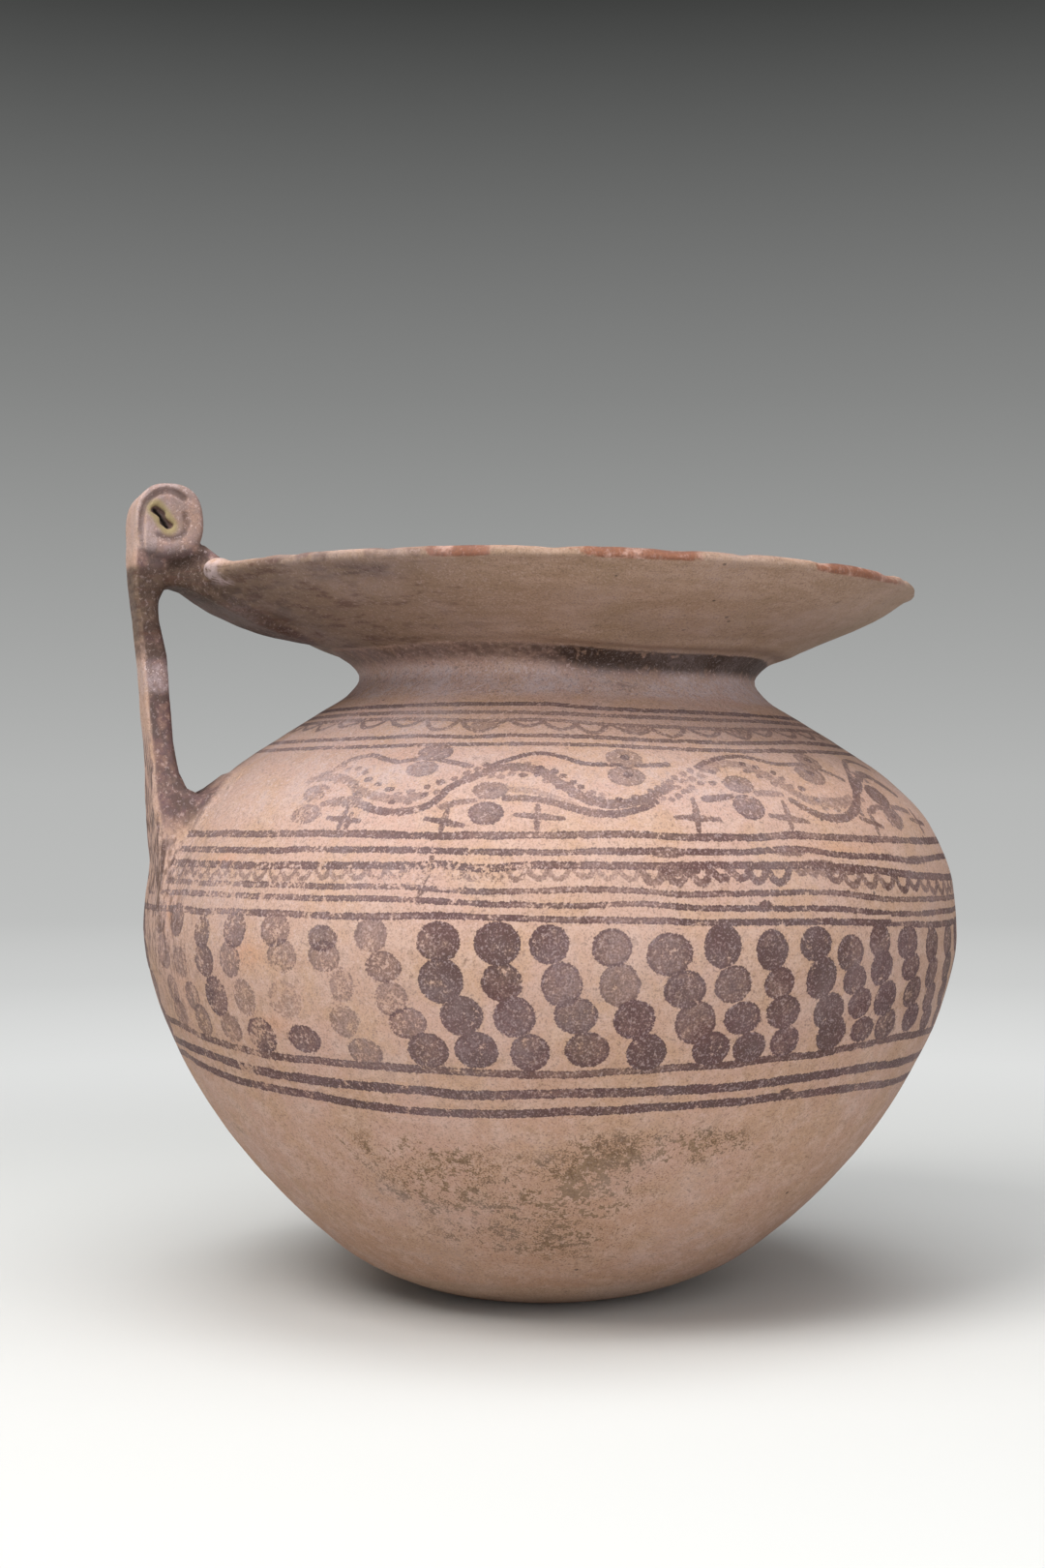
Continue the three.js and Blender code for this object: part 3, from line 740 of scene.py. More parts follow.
# columns of four touching dots: (angle, height, half width in degrees, half height)
COLUMNS = [
    [(-173.2, 118, 2.1, 4.6, .45), (-172, 108, 2.3, 5, .5), (-171, 97, 2, 4, .5), (-170.3, 90, 2.2, 4.5, .5)],
    [(-167, 118, 2, 4.8, .7), (-166.3, 105.5, 2, 4.5, .45), (-164.5, 96, 1.9, 4, .6), (-163, 89, 2, 4.5, .6)],
    [(-159.7, 115, 1.7, 4.5, .8), (-159.4, 107, 2.1, 4.5, .8), (-157.8, 97, 2.4, 5.6, .85), (-156, 88, 2.2, 4, .55)],
    [(-152.5, 116.5, 2.1, 5, .75), (-153.5, 108, 2, 5, .6), (-151.5, 97.5, 2, 5, .45), (-149.7, 87, 2.6, 4.8, .8)],
    [(-145, 117, 2.3, 4.5, .65), (-143.8, 110, 2.2, 4.5, .5), (-144, 98, 2.6, 5, .28), (-142, 87, 2.5, 3.7, .75)],
    [(-137.5, 115.4, 2, 3.5, .75), (-137.2, 110.6, 2.2, 4, .6), (-134.9, 103, 1.6, 4.5, .45), (-135.2, 93, 2, 4.4, .45), (-132.8, 84.6, 2.4, 3.7, .6)],
    [(-130.7, 117, 2.1, 4.4, .6), (-129, 108.5, 2.2, 4, .7), (-128.2, 99.8, 2.1, 4.6, .55), (-126.3, 93.3, 2.4, 4.1, .7), (-123.9, 86, 2.6, 4.6, .85)],
    [(-122, 115.8, 2.6, 5.2, .85), (-121.7, 105.3, 2.7, 6, .9), (-119.3, 96, 2.6, 5.2, .9), (-117.6, 86.6, 2.7, 4.9, .95)],
    [(-114.8, 115.6, 2.7, 5.6, .85), (-114.2, 105.3, 2.4, 5, .8), (-112.7, 96, 2.5, 5.3, .95), (-110.8, 86.2, 2.4, 5, .85)],
    [(-108.6, 115.7, 2.3, 5, .95), (-107, 105, 2.4, 5.8, .85), (-105.2, 96.7, 2.6, 4.8, .9), (-103.6, 87.3, 2.7, 4.7, .85)],
    [(-101.1, 115, 2.3, 4.9, .85), (-100, 105, 2.4, 5.7, .75), (-97.9, 95.7, 2.5, 5.2, 1.0), (-96, 86.5, 2.5, 5, 1.0)],
    [(-94, 113.3, 2.8, 5.6, .9), (-91.8, 103.8, 2.6, 5, .9), (-90, 94.8, 2.6, 5.8, .85), (-87.3, 87.3, 2.5, 4.6, .95)],
    [(-87.2, 115.5, 2.4, 5.8, .95), (-85.5, 105.1, 2.4, 5, .85), (-83.6, 95.8, 2.5, 4.4, .95), (-81.8, 87.4, 2.3, 4.2, .9)],
    [(-80.3, 114.3, 2.2, 5.4, .8), (-78.9, 105.2, 2.1, 4.3, .8), (-77.6, 97.2, 2.5, 4.4, .9), (-76.4, 88.8, 2.2, 4.2, .85)],
    [(-73.6, 115.8, 2.4, 4.6, .9), (-72.3, 106.3, 2.4, 5.7, .9), (-69.9, 96.8, 2.6, 5, .95), (-68.5, 90.3, 2.5, 4.8, .85)],
    [(-67.6, 113, 2.3, 5, .9), (-66.2, 105.3, 2.1, 4, .95), (-64.2, 98.5, 2.2, 4.2, .9), (-62.4, 90.8, 2.3, 3.5, .85)],
    [(-61.8, 116, 2.1, 4.8, .85), (-61, 108.3, 2.3, 4.8, 1.0), (-58.8, 99.4, 2.4, 5, .95), (-57, 91.5, 2.4, 4.4, .8)],
    [(-55.2, 115.2, 2.6, 4.6, .9), (-53.8, 108.2, 2.3, 4, .85), (-51.8, 100.5, 2.4, 4.3, .85), (-50, 92.8, 2.4, 4, .95)],
    [(-47.6, 114, 2.2, 5, .85), (-46.3, 105.5, 2.1, 4.5, .85), (-44.5, 98, 2.3, 4.2, .85), (-43, 91.5, 2.2, 4, .85)],
    [(-40, 114.5, 2.2, 4.8, .85), (-38.7, 106.5, 2.3, 4.4, .85), (-37.2, 99, 2.2, 4.2, .85), (-35.6, 91.6, 2.2, 4, .85)],
]
columns = [list(c) for c in COLUMNS]
at = -33.1
while at < 180:  # round the hidden side in the same manner
    z, col = 115.3 + rng.uniform(-1.2, 1.2), []
    lean = rng.uniform(.9, 1.9)
    for i in range(4):
        hz = rng.uniform(4.2, 5.4)
        col.append((at + i * lean + rng.uniform(-.3, .3), z, rng.uniform(2.15, 2.65), hz, rng.uniform(.72, .95)))
        z -= hz * 1.92 + rng.uniform(-.3, .5)
    columns.append(col)
    at += 6.87 + rng.uniform(-.5, .5)
for col in columns:
    for a, z, hd, hz, op in col:
        dot(a, z, hd, hz, op, .12 + .25 * rng.random(), rng.uniform(-.12, .12))

# small crosses above the middle bands
CROSSES = [
    [((-140.9, 148.2), (-135.6, 147.6)), ((-138.3, 151), (-138.5, 145.4)), ((-137.2, 149.5), (-137.3, 145.2))],
    [((-125.6, 148.5), (-120.3, 146.8)), ((-122.8, 150.9), (-123.2, 144.9))],
    [((-113.3, 150), (-107, 149.1)), ((-110.4, 152.6), (-110.4, 146.3))],
    [((-91.7, 150), (-85.5, 149.5)), ((-88.5, 155), (-88.9, 146.4))],
    [((-77.3, 150.9), (-71.2, 149.3)), ((-73.9, 154.8), (-74.4, 147.3))],
    [((-59.8, 150.6), (-55.1, 148.1)), ((-56.8, 152.2), (-57, 146.2))],
]
crosses = [(c, .8, b) for c, b in zip(CROSSES, (.3, .35, .25, .75, .7, .8))]
for i in range(13):
    a = -41.5 + i * 16.3 + rng.uniform(-1.5, 1.5)
    z, t = 149.4 + rng.uniform(-.6, .6), rng.uniform(-.7, .3)
    crosses.append(([((a - 2.9, z - t), (a + 2.9, z + t)), ((a + .1, z + 3.6), (a - .1, z - 3.4))], .8, rng.uniform(.2, .6)))
for arms, op, brown in crosses:
    for one in arms:
        stroke(one, (.45, .85, .5), op, brown, gap=2.0)

# the wavy band: smooth strands (points, half width, opacity, brownness), rows of
# dabs, and pairs of ringed ovals on stems
STRANDS = [
    ([(-140.8, 166.3), (-138.8, 166), (-137, 165.2), (-134.5, 164.2), (-133, 164.6), (-130.5, 165.3)], .75, .8, .2),
    ([(-147.5, 160.2), (-145.5, 162.3), (-144, 164.8), (-142, 165.8), (-140.5, 166.2)], .8, .6, .2),
    ([(-149, 159), (-146.5, 159.6), (-144.5, 159.9), (-142.5, 159.6), (-140.5, 158.6), (-139, 157), (-137.5, 155.8), (-136, 155), (-134, 154.2), (-131.5, 153.8), (-129.5, 154), (-127.5, 154.8)], 1.25, .5, .3),
    ([(-135.2, 151.4), (-133, 150.4), (-131, 150.1), (-129, 150.4), (-127, 151.2), (-125.5, 152.5), (-124.5, 154.4), (-123.8, 156.5), (-122.5, 158.2), (-121, 159.8), (-119.5, 161.2), (-118, 163), (-116.5, 164.5)], (1.0, 1.1, .9), .8, .25),
    ([(-116.5, 164.5), (-114.5, 165.8), (-112.5, 166.8), (-110.5, 167.2), (-108.5, 166.9), (-106.5, 166.1), (-105, 165), (-103, 164.3), (-100.5, 164.2), (-98, 164.1)], (.7, .75, .65), .9, .3),
    ([(-95.5, 164), (-93, 164.3), (-90.5, 164.6)], (.6, .7, .9), .85, .3),
    ([(-127, 165), (-124, 164.2), (-121.3, 163.2)], (.7, .8, .8), .8, .4),
    ([(-121, 159.5), (-119, 161.3), (-117, 162.7), (-115, 163.2), (-113, 163.1), (-111.5, 162.8), (-110, 162), (-109, 160.8), (-107.5, 158.8), (-106, 157.2), (-105, 155.8), (-103.5, 154.5), (-102, 153.6), (-100, 153.2), (-98, 153.6), (-96, 154.5), (-94.5, 155.5), (-93, 156.8), (-91.5, 158.2)], (1.3, 1.55, 1.2), .72, .3),
    ([(-115, 154.4), (-113, 154.5), (-111, 154.3), (-109, 153.8), (-107, 152.8), (-105.5, 151.9), (-103.5, 151), (-101.5, 150.6), (-99.5, 150.7), (-98, 151.2), (-96.5, 152), (-95, 153), (-94, 154)], (.9, 1.05, .7), .8, .25),
    ([(-115, 156.9), (-113, 156.8), (-111, 156.4), (-109, 155.5), (-107, 154.1), (-105.2, 152.8)], (.8, .8, .5), .4, .15),
    ([(-123.6, 152), (-121.5, 153), (-119.3, 153.7)], (1.0, .8, .6), .65, .3),
    ([(-143, 152.2), (-140, 152.4), (-137.5, 152.3), (-135, 151.7)], .95, .65, .2),
    ([(-141.5, 153.6), (-139, 153.9), (-137, 153.6)], .5, .7, .9),
    # third wave
    ([(-85.5, 164), (-84, 165.3), (-82.5, 166), (-80.5, 166.8), (-78.5, 167.3), (-76.5, 167.6), (-74.5, 167.3), (-72.5, 166.6), (-70.5, 165.8), (-68.5, 165.6), (-66, 165.8), (-63, 166)], (.75, .75, .6), .9, .45),
    ([(-84, 164.2), (-82, 165), (-80, 165.3), (-78, 165.2), (-76, 164.6)], (1.3, 1.7, 1.2), .45, .15),
    ([(-75.5, 163.6), (-73.8, 162.4), (-72.4, 160.6), (-71.4, 158.8), (-70.2, 157), (-69, 155.6)], (1.3, 1.4, 1.2), .5, .3),
    ([(-72, 155.2), (-70.5, 153.1), (-69, 151.7), (-67.5, 150.8), (-65.5, 150.3), (-63.5, 150.7), (-61.5, 151.8), (-60, 153), (-58.5, 154.6), (-57, 156.5), (-55.5, 158.5), (-54.5, 160.5)], (1.0, 1.35, 1.1), .85, .6),
    ([(-54.5, 160.5), (-53.5, 162), (-52, 164), (-50, 166), (-48, 167.3), (-46, 167.8), (-44, 167.6), (-41.5, 166.8), (-39, 165.7)], .8, .8, .3),
    ([(-68.5, 155.4), (-66, 155), (-63.5, 154.7), (-61, 155.2), (-59, 156.4)], (1.6, 1.8, 1.2), .5, .5),
    ([(-55, 158.8), (-53.3, 160.4), (-51.8, 161.6)], (1.4, 2.1, 1.4), .85, .45),
    ([(-50.5, 162.2), (-48.6, 163.4), (-46.2, 163.4), (-44.2, 162.2), (-42.5, 160.2), (-40.8, 158)], (1.3, 1.5, 1.2), .7, .3),
    ([(-77.8, 156.9), (-75.6, 157.1), (-73.4, 156.8)], (.8, 1.0, .9), .6, .1),
    ([(-86.5, 155.1), (-84.4, 155.5), (-82.3, 156)], (1.1, 1.1, .7), .9, .4),
    ([(-60, 164.6), (-58, 163.2), (-56.2, 161.7)], (.6, .65, .7), .8, .5),
    ([(-56.1, 152.6), (-53.5, 153.8), (-51, 153.9)], (1.0, .9, .7), .75, .4),
    ([(-48, 154), (-45.5, 153.8), (-42.5, 152.8)], (.8, .9, .9), .7, .3),
    ([(-58.7, 153.1), (-58.9, 151.8)], .7, .8, .5),
]
DABS = [  # (angle, height, opacity)
    (-144.3, 163.2, .5), (-142.8, 162, .6), (-140.8, 162.3, .6), (-139, 161.3, .7), (-137.5, 159.2, .9), (-135.3, 157.8, .9),
    (-132.9, 156.5, 1), (-143.1, 158.5, .5), (-141.1, 158.4, .6), (-139.2, 157.4, .8), (-138.1, 155.2, .8), (-131.6, 152.9, .9),
    (-131.2, 155, .6), (-129.2, 155.8, .6), (-129.1, 152.8, .6), (-127, 157.3, .7), (-125.2, 158.6, .7), (-123.2, 159.7, .75),
    (-121.4, 161.2, .7), (-119.9, 162.4, .7), (-118.7, 163.4, .8), (-126.9, 155.1, .8), (-125.2, 155.8, .6),
    (-116.2, 160.3, .5), (-117.7, 160.6, .5), (-114.6, 161.3, .5), (-112.9, 160.9, .8), (-112.4, 164, .6), (-110.4, 163, 1),
    (-110.7, 161.3, .9), (-108.2, 162, .9), (-106.9, 160.8, .9), (-105.5, 159, .85), (-104.4, 157.8, .85), (-109.3, 159.3, .6),
    (-107.4, 157.6, .9), (-105.7, 155.7, .8), (-106.3, 158.6, .8), (-101.6, 155.5, .5), (-99.2, 154.5, .9), (-100.6, 153.7, .6),
    (-103, 156.3, .6), (-96.8, 155.4, .6), (-95.6, 153.9, .7), (-94.4, 156.9, .6), (-93.2, 158, .6), (-92, 158.7, .6), (-91, 159.7, .6),
    (-90, 160.9, .65), (-88.4, 162.1, .6), (-87, 162.9, .7), (-93, 155.1, .5), (-91.7, 154.8, .65), (-90.5, 155.8, .7),
    (-89.2, 157.1, .7), (-88.1, 158.2, .6), (-86.3, 159.4, .75), (-84.3, 159.6, .85), (-90.2, 158.2, .6), (-89, 160, .6),
    (-87.3, 160.7, .6), (-85.6, 161.5, .55), (-83.4, 162.8, .8), (-84.9, 163.2, .6), (-82.3, 163.4, .5),
    (-76.8, 165.3, .95), (-74.6, 164.5, .95), (-77, 163.2, .8), (-72, 163, .95), (-75.2, 161.8, .75), (-73.2, 162.6, .6),
    (-73.3, 159.8, .6), (-71, 161.3, .6), (-70.5, 159.2, .6), (-68.5, 158.6, .8), (-67, 155.7, .9), (-63.8, 155.7, .7), (-61, 154.9, .6),
    (-66.5, 153.2, .6), (-64.2, 152.9, .6), (-57.8, 155.5, .8), (-55.9, 156, .6), (-50.2, 163.9, .6), (-46.2, 163, .8), (-48.3, 161.6, .6),
]
OVALS = [  # (angle, height, half width in degrees, half height, opacity, brownness, depth of its middle)
    (-145.8, 155.3, 2.2, 2.3, .55, .1, .3), (-145.3, 149.3, 2.5, 2.6, .55, .1, .3),
    (-128.3, 167, 3.0, 2.2, .72, .1, .5), (-129.2, 162.4, 2.5, 2.2, .6, .1, .5),
    (-117.3, 156.5, 2.4, 2.3, .58, .15, .4), (-117.4, 150.3, 2.3, 3.0, .75, .2, .5),
    (-97.1, 166, 2.8, 2.6, .5, .25, 1), (-97.4, 161, 2.7, 2.5, .5, .25, .7),
    (-80, 159.4, 2.4, 2.3, .65, .2, .5), (-80.2, 153.2, 2.3, 3.3, .75, .25, .6),
    (-60.8, 166.8, 2.5, 2.4, .55, .5, 1), (-63.8, 162.9, 2.8, 2.8, .6, .35, 1),
    (-49.8, 157.2, 2.7, 3.1, .9, .95, .4), (-50, 150.9, 2.4, 3.1, .7, .4, 1),
]
waves = [(STRANDS, DABS, OVALS, 0.0, 1.0, None)]
# on the hidden side, the wave between -127 and -93 is repeated
one_s = [s for s in STRANDS if s[0][0][0] > -127.5 and s[0][0][0] < -93 and s[0][-1][0] < -89]
one_d = [d for d in DABS if -126 < d[0] < -93.5]
one_o = [o for o in OVALS if -120 < o[0] < -94]
for i, c in enumerate((-12.5, 20.3, 53.0, 85.8, 118.4, 151.2)):
    waves.append((one_s, one_d, one_o, c + 110.3, 1.0, i))
for strands, dabs, ovals, shift, k, i in waves:
    lift = 0 if i is None else rng.uniform(-.5, .5)
    for pts, w, op, br in strands:
        jog = 0 if i is None else rng.uniform(-.4, .4)
        stroke([(a + jog, z + lift) for a, z in pts], w, op, br, shift=shift)
    for a, z, op in dabs:
        jog = (0, 0) if i is None else rng.uniform(-.5, .5, 2)
        dot(a + shift + jog[0], z + lift + jog[1], rng.uniform(.42, .58), rng.uniform(.48, .62), op, .3)
    for a, z, hd, hz, op, br, mid in ovals:
        dot(a + shift, z + lift, hd, hz, op, br)
        dot(a + shift + .2, z + lift + .4, hd * .26, hz * .26, min(1, .55 + .5 * mid), br)

# loops hanging from the third middle band, tight and dark on the right
a = -157.5
while a < 200:
    if a < -96:
        half, deep, w, op = rng.uniform(1.05, 1.45), rng.uniform(2.6, 3.5), .5, .62
    elif a < -78:
        half, deep, w, op = rng.uniform(1.2, 1.7), rng.uniform(3.0, 4.6), .85, .9
    elif a < -70:
        half, deep, w, op = rng.uniform(.9, 1.2), rng.uniform(1.6, 2.4), .6, .7
    elif a < -30:
        half, deep, w, op = rng.uniform(1.4, 1.9), rng.uniform(3.4, 4.6), .8, .85
    else:
        half, deep, w, op = rng.uniform(1.1, 1.6), rng.uniform(2.6, 3.8), .6, .75
    z = float(BAND["mid3"](turn(a))) - .4
    lean = rng.uniform(-.1, .5)
    stroke([(a - half, z), (a - half * .62 + lean * .5, z - deep * .75), (a + lean, z - deep), (a + half * .62 + lean * .5, z - deep * .7), (a + half, z)],
           w, op * rng.uniform(.8, 1.05), .45, gap=1.9)
    a += half * 2 + rng.uniform(-.15, .35)

# wide swags under the third top band; some are filled
SWAGS = [(-139.6, 3.8, 2.2, 0), (-131, 3.6, 3.2, 0), (-122.6, 4.2, 3.2, 1), (-113.6, 3.2, 1.8, 0), (-107, 3.4, 2.6, 2), (-101.2, 3, 2.9, 0), (-93.2, 3.6, 2.4, 1),
         (-86.6, 3.6, 2.9, 0), (-78.6, 3.4, 2.2, 0), (-71, 3.6, 2.7, 1), (-64, 3, 1.8, 0), (-56, 3.6, 2.2, 0), (-47.5, 3.8, 2.4, 0)]
a = -39.5
while a < 216:
    SWAGS.append((a, rng.uniform(3.2, 4.0), rng.uniform(1.8, 3.0), int(rng.random() < .25)))
    a += 8.1 + rng.uniform(-.6, .6)
for a, half, deep, kind in SWAGS:
    z = float(BAND["top3"](turn(a))) - .1
    stroke([(a - half, z), (a - half * .6, z - deep * .62), (a, z - deep), (a + half * .6, z - deep * .7), (a + half, z - .3)], .62, .72, .25, gap=2.2)
    if kind == 1:
        dot(a + half * .15, z - deep * .5, half * .6, deep * .5, .5, .1)

# heavier dabs where the brush rested on the second and third middle bands
for a, z, hd, hz, op in ((-93.6, 140.4, 2.1, 1.3, .9), (-92.3, 136, 2.6, 1.8, .9), (-76, 141, 2.4, 1.0, .8), (-72, 137.2, 3.2, 1.4, .8), (-67.5, 136.2, 3.2, 1.4, .85),
                         (-49, 138.6, 3.2, 1.0, .8), (-81, 126.6, .8, .9, .9), (-73.3, 73.8, .9, .8, .9), (-61.5, 169.7, 2.4, .5, .9), (-66, 169.7, 1.6, .6, 1)):
    dot(a, z, hd, hz, op, .55)

stroke([(-123.7, 138), (-124.3, 132), (-124.9, 126)], .5, .75, .9)
marks = np.array(marks, float)
print("marks", len(marks))

# ------------------------------------------------- where each vertex and face is
TH, R0, ZS = unplace(P)
DEG = np.degrees(TH)
ARC = arc(np.clip(ZS, 0, TOP_Z))
OUT_DIST = np.zeros(len(P))
nr, nz = normal2(np.clip(ZS, 0, TOP_Z))
# signed distance from the outside: near 0 outside, about minus the wall inside
OUT_DIST = (R0 - OUTSIDE(np.clip(ZS, 0, TOP_Z))) * nr
LIP_D = np.hypot(R0 - LIP_R, ZS - LIP_Z)
LIP_A = np.arctan2(ZS - LIP_Z, R0 - LIP_R)
inside = step(OUT_DIST, -2.0, -3.6) * (1 - step(ZS, 212, 216))
funnel_in = step(ZS, 212, 216) * np.where(LIP_D < 4.2, step(LIP_A, 1.2, 2.1), step(OUT_DIST, -1.2, -2.6))
inside = np.clip(np.maximum(inside, funnel_in), 0, 1)
inside[(R0 < 60) & (ZS > 4) & (ZS < 30)] = 1
V_DIST = np.zeros(len(P))
far = P[:, 0] < -62
V_DIST[far] = shell(P[far])
H_DIST = np.full(len(P), 60.0)
H_DIST[far] = handle(P[far])
on_handle = step(V_DIST, .35, 1.8) * far * (P[:, 2] > 114) * (np.abs(P[:, 1]) < 17)
NORMAL = np.zeros(len(P) * 3)
mesh.vertices.foreach_get("normal", NORMAL)
NORMAL = NORMAL.reshape(-1, 3)

n_poly, n_loop = len(mesh.polygons), len(mesh.loops)
loop_v = np.zeros(n_loop, np.int32)
mesh.loops.foreach_get("vertex_index", loop_v)
poly_start = np.zeros(n_poly, np.int32)
poly_size = np.zeros(n_poly, np.int32)
mesh.polygons.foreach_get("loop_start", poly_start)
mesh.polygons.foreach_get("loop_total", poly_size)
loop_p = np.repeat(np.arange(n_poly), poly_size)


def per_face(values):
    return np.bincount(loop_p, values[loop_v], n_poly) / poly_size


# the angle at each corner, without the jump behind the handle
first_deg = DEG[loop_v[poly_start]]
corner_deg = first_deg[loop_p] + turn(DEG[loop_v] - first_deg[loop_p])
face_deg = np.bincount(loop_p, corner_deg, n_poly) / poly_size
face_z = per_face(ZS)
face_arc = per_face(ARC)
face_in = per_face(inside)
face_r = OUTSIDE(np.clip(face_z, 0, TOP_Z))

# ---- the nearest brushed band round the jug
painted = (face_in < .3) & (face_z > 60) & (face_z < 190) & (per_face(on_handle) < .5)
best = np.full(n_poly, 1e9)
which = np.zeros(n_poly, int)
for i, (name, half, op, brown, _) in enumerate(BANDS):
    d = np.abs(face_z - BAND[name](turn(face_deg)))
    better = d < best
    best[better], which[better] = d[better], i
band = np.zeros((n_loop, 3))
band[:, 0] = 9.0
corner_z = ZS[loop_v]
stretch = slope_len(np.clip(corner_z, 1, 218))
for i, (name, half, op, brown, _) in enumerate(BANDS):
    mine = (which[loop_p] == i) & painted[loop_p] & (best[loop_p] < 4)
    band[mine, 0] = ((corner_z - BAND[name](turn(corner_deg))) * stretch)[mine]
    band[mine, 1] = (half * stretch)[mine]
    band[mine, 2] = op + 10 * round(brown * 10)

# ---- the nearest marks, four to a face
SLOTS = 4
near_id = np.full((n_poly, SLOTS), -1)
mark_arc = arc(marks[:, 1])
mark_r = OUTSIDE(marks[:, 1])
reach = marks[:, 5] + np.maximum(marks[:, 3], marks[:, 4]) + 3.0
todo = np.where(painted & (face_z < 178.5))[0]
cell_a = np.floor((turn(face_deg[todo]) + 180) / 4).astype(int)
cell_s = np.floor(face_arc[todo] / 9).astype(int)
key = cell_a * 1000 + cell_s
order = np.argsort(key, kind="stable")
todo, key = todo[order], key[order]
starts = np.concatenate([[0], np.where(np.diff(key))[0] + 1, [len(key)]])


def mark_coords(deg, s, r, ids):
    """Faces or corners against marks: the marks' own coordinates, ellipse = 1."""
    m = marks[ids]
    x = np.radians(turn(deg - m[..., 0])) * r
    y = s - mark_arc[ids]
    c, w = np.cos(m[..., 2]), np.sin(m[..., 2])
    return (x * c + y * w) / m[..., 3], (-x * w + y * c) / m[..., 4], m[..., 5] / m[..., 3]


for b0, b1 in zip(starts[:-1], starts[1:]):
    f = todo[b0:b1]
    ca, cs = key[b0] // 1000, key[b0] % 1000
    mid_deg, mid_s = ca * 4 - 180 + 2, cs * 9 + 4.5
    d = np.hypot(np.radians(turn(marks[:, 0] - mid_deg)) * mark_r, mark_arc - mid_s)
    c = np.where(d < reach + 8.0)[0]
    if not len(c):
        continue
    u, v, ln = mark_coords(face_deg[f][:, None], face_arc[f][:, None], face_r[f][:, None], np.broadcast_to(c, (len(f), len(c))))
    rho = np.hypot(u - np.clip(u, 0, ln), v)
    dist = (rho - 1) * np.minimum(marks[c, 3], marks[c, 4])
    k = min(SLOTS, len(c))
    sel = np.argsort(dist, axis=1)[:, :k]
    ids = c[sel]
    ids[np.take_along_axis(dist, sel, 1) > 2.6] = -1
    near_id[f[:, None], np.arange(k)[None]] = ids


def put(name, kind, domain, values):
    att = mesh.attributes.new(name, kind, domain)
    att.data.foreach_set("vector" if kind == "FLOAT_VECTOR" else "value", np.ascontiguousarray(values, np.float32).ravel())


corner_arc = ARC[loop_v]
corner_r = OUTSIDE(np.clip(corner_z, 0, TOP_Z))
for sl in range(SLOTS):
    ids = near_id[loop_p, sl]
    ok = ids >= 0
    a = np.full((n_loop, 3), 9.0)
    a[:, 2] = 0
    st = np.zeros((n_loop, 3))
    u, v, ln = mark_coords(corner_deg[ok], corner_arc[ok], corner_r[ok], ids[ok])
    a[ok] = np.stack([u, v, ln], -1)
    m = marks[ids[ok]]
    st[ok] = np.stack([m[:, 6], m[:, 7], np.minimum(m[:, 3], m[:, 4])], -1)
    put("mark%d" % sl, "FLOAT_VECTOR", "CORNER", a)
    put("style%d" % sl, "FLOAT_VECTOR", "CORNER", st)
put("band", "FLOAT_VECTOR", "CORNER", band)


# ---- broad changes of state, by place
def spot(a, z, wide_deg, high, tilt=0.0):
    """A soft round patch of 1 fading to 0."""
    dx = turn(DEG - a) / wide_deg
    dy = (ZS - z) / high
    if tilt:
        dx, dy = dx * math.cos(tilt) + dy * math.sin(tilt), -dx * math.sin(tilt) + dy * math.cos(tilt)
    return np.exp(-(dx * dx + dy * dy))


outside = 1 - inside
# paint rubbed away
wear = .03 + .30 * spot(-147, 98, 8, 16) + .10 * spot(-140, 100, 12, 22) + .22 * spot(-170, 128, 16, 26) + .25 * spot(-150, 128, 16, 9) \
    + .30 * spot(-118, 133, 10, 5) + .18 * spot(-155, 82, 14, 10) + .45 * spot(-155.5, 76, 2.6, 4) + .35 * spot(-151, 160, 12, 16) + .25 * spot(-164, 102, 6, 12) \
    + .22 * spot(-132, 98, 6, 14) + .35 * spot(-124, 133, 7, 4) + .2 * spot(-60, 178, 22, 4) + .2 * spot(20, 100, 22, 18) + .25 * spot(95, 130, 18, 14) + .3 * spot(150, 96, 18, 16)
# white bloom in the paint and on the shoulder
bloom = .75 * spot(-150, 170, 26, 16) + .55 * spot(-120, 190, 60, 5) + .35 * spot(-60, 187, 40, 4) + .3 * spot(-172, 140, 14, 26) + .25 * spot(-127, 134, 14, 8) \
    + .3 * spot(-92, 160, 8, 10) + .3 * spot(60, 185, 70, 8) + .2 * spot(-75, 183, 30, 3)
# olive and brown stains low down
stain = .8 * spot(-102, 53, 7, 9) + .6 * spot(-123, 57, 8, 6) + .4 * spot(-84, 60, 6, 5) + .7 * spot(-103, 40, 16, 13) + .8 * spot(-128, 44, 15, 12) + .65 * spot(-112, 27, 20, 8) + .5 * spot(-93, 57, 10, 8) + .35 * spot(-75, 52, 8, 7) \
    + .45 * spot(-140, 58, 9, 7) + .5 * spot(-85, 60, 12, 5) + .35 * spot(40, 40, 26, 14) + .3 * spot(120, 52, 20, 12)
# fired orange patches
orange = .9 * spot(-158.5, 136.5, 3.2, 1.6) + .9 * spot(-170, 120, 2.6, 6) + .7 * spot(-150, 110, 3.5, 4) + .5 * spot(-147, 91, 3, 2) + .5 * spot(-66, 142.2, 10, 1.5) \
    + .45 * spot(-133, 166, 3, 2) + .4 * spot(-109.5, 165, 3, 1.4) + .35 * spot(-167, 98, 4, 8) + .3 * spot(-60, 156, 16, 8) + .35 * spot(-44, 132, 8, 4) + .5 * spot(70, 120, 8, 9) + .4 * spot(-5, 84, 9, 5)
# painted shade low on the right side, away from the light, and darker towards the bottom all round
right_shade_and_low_dark = .55 * step(DEG, -95, -35) * step(ZS, 165, 120) * step(DEG, 40, -10) + .5 * step(ZS, 70, 18)
zc = crease(TH)
over = right_front(TH)
funnel = step(ZS, zc - .4, zc + .8) * outside * step(ZS, 224, 222)
neck = step(ZS, 184.2, 185.4) * (1 - step(ZS, zc - .4, zc + .8)) * outside
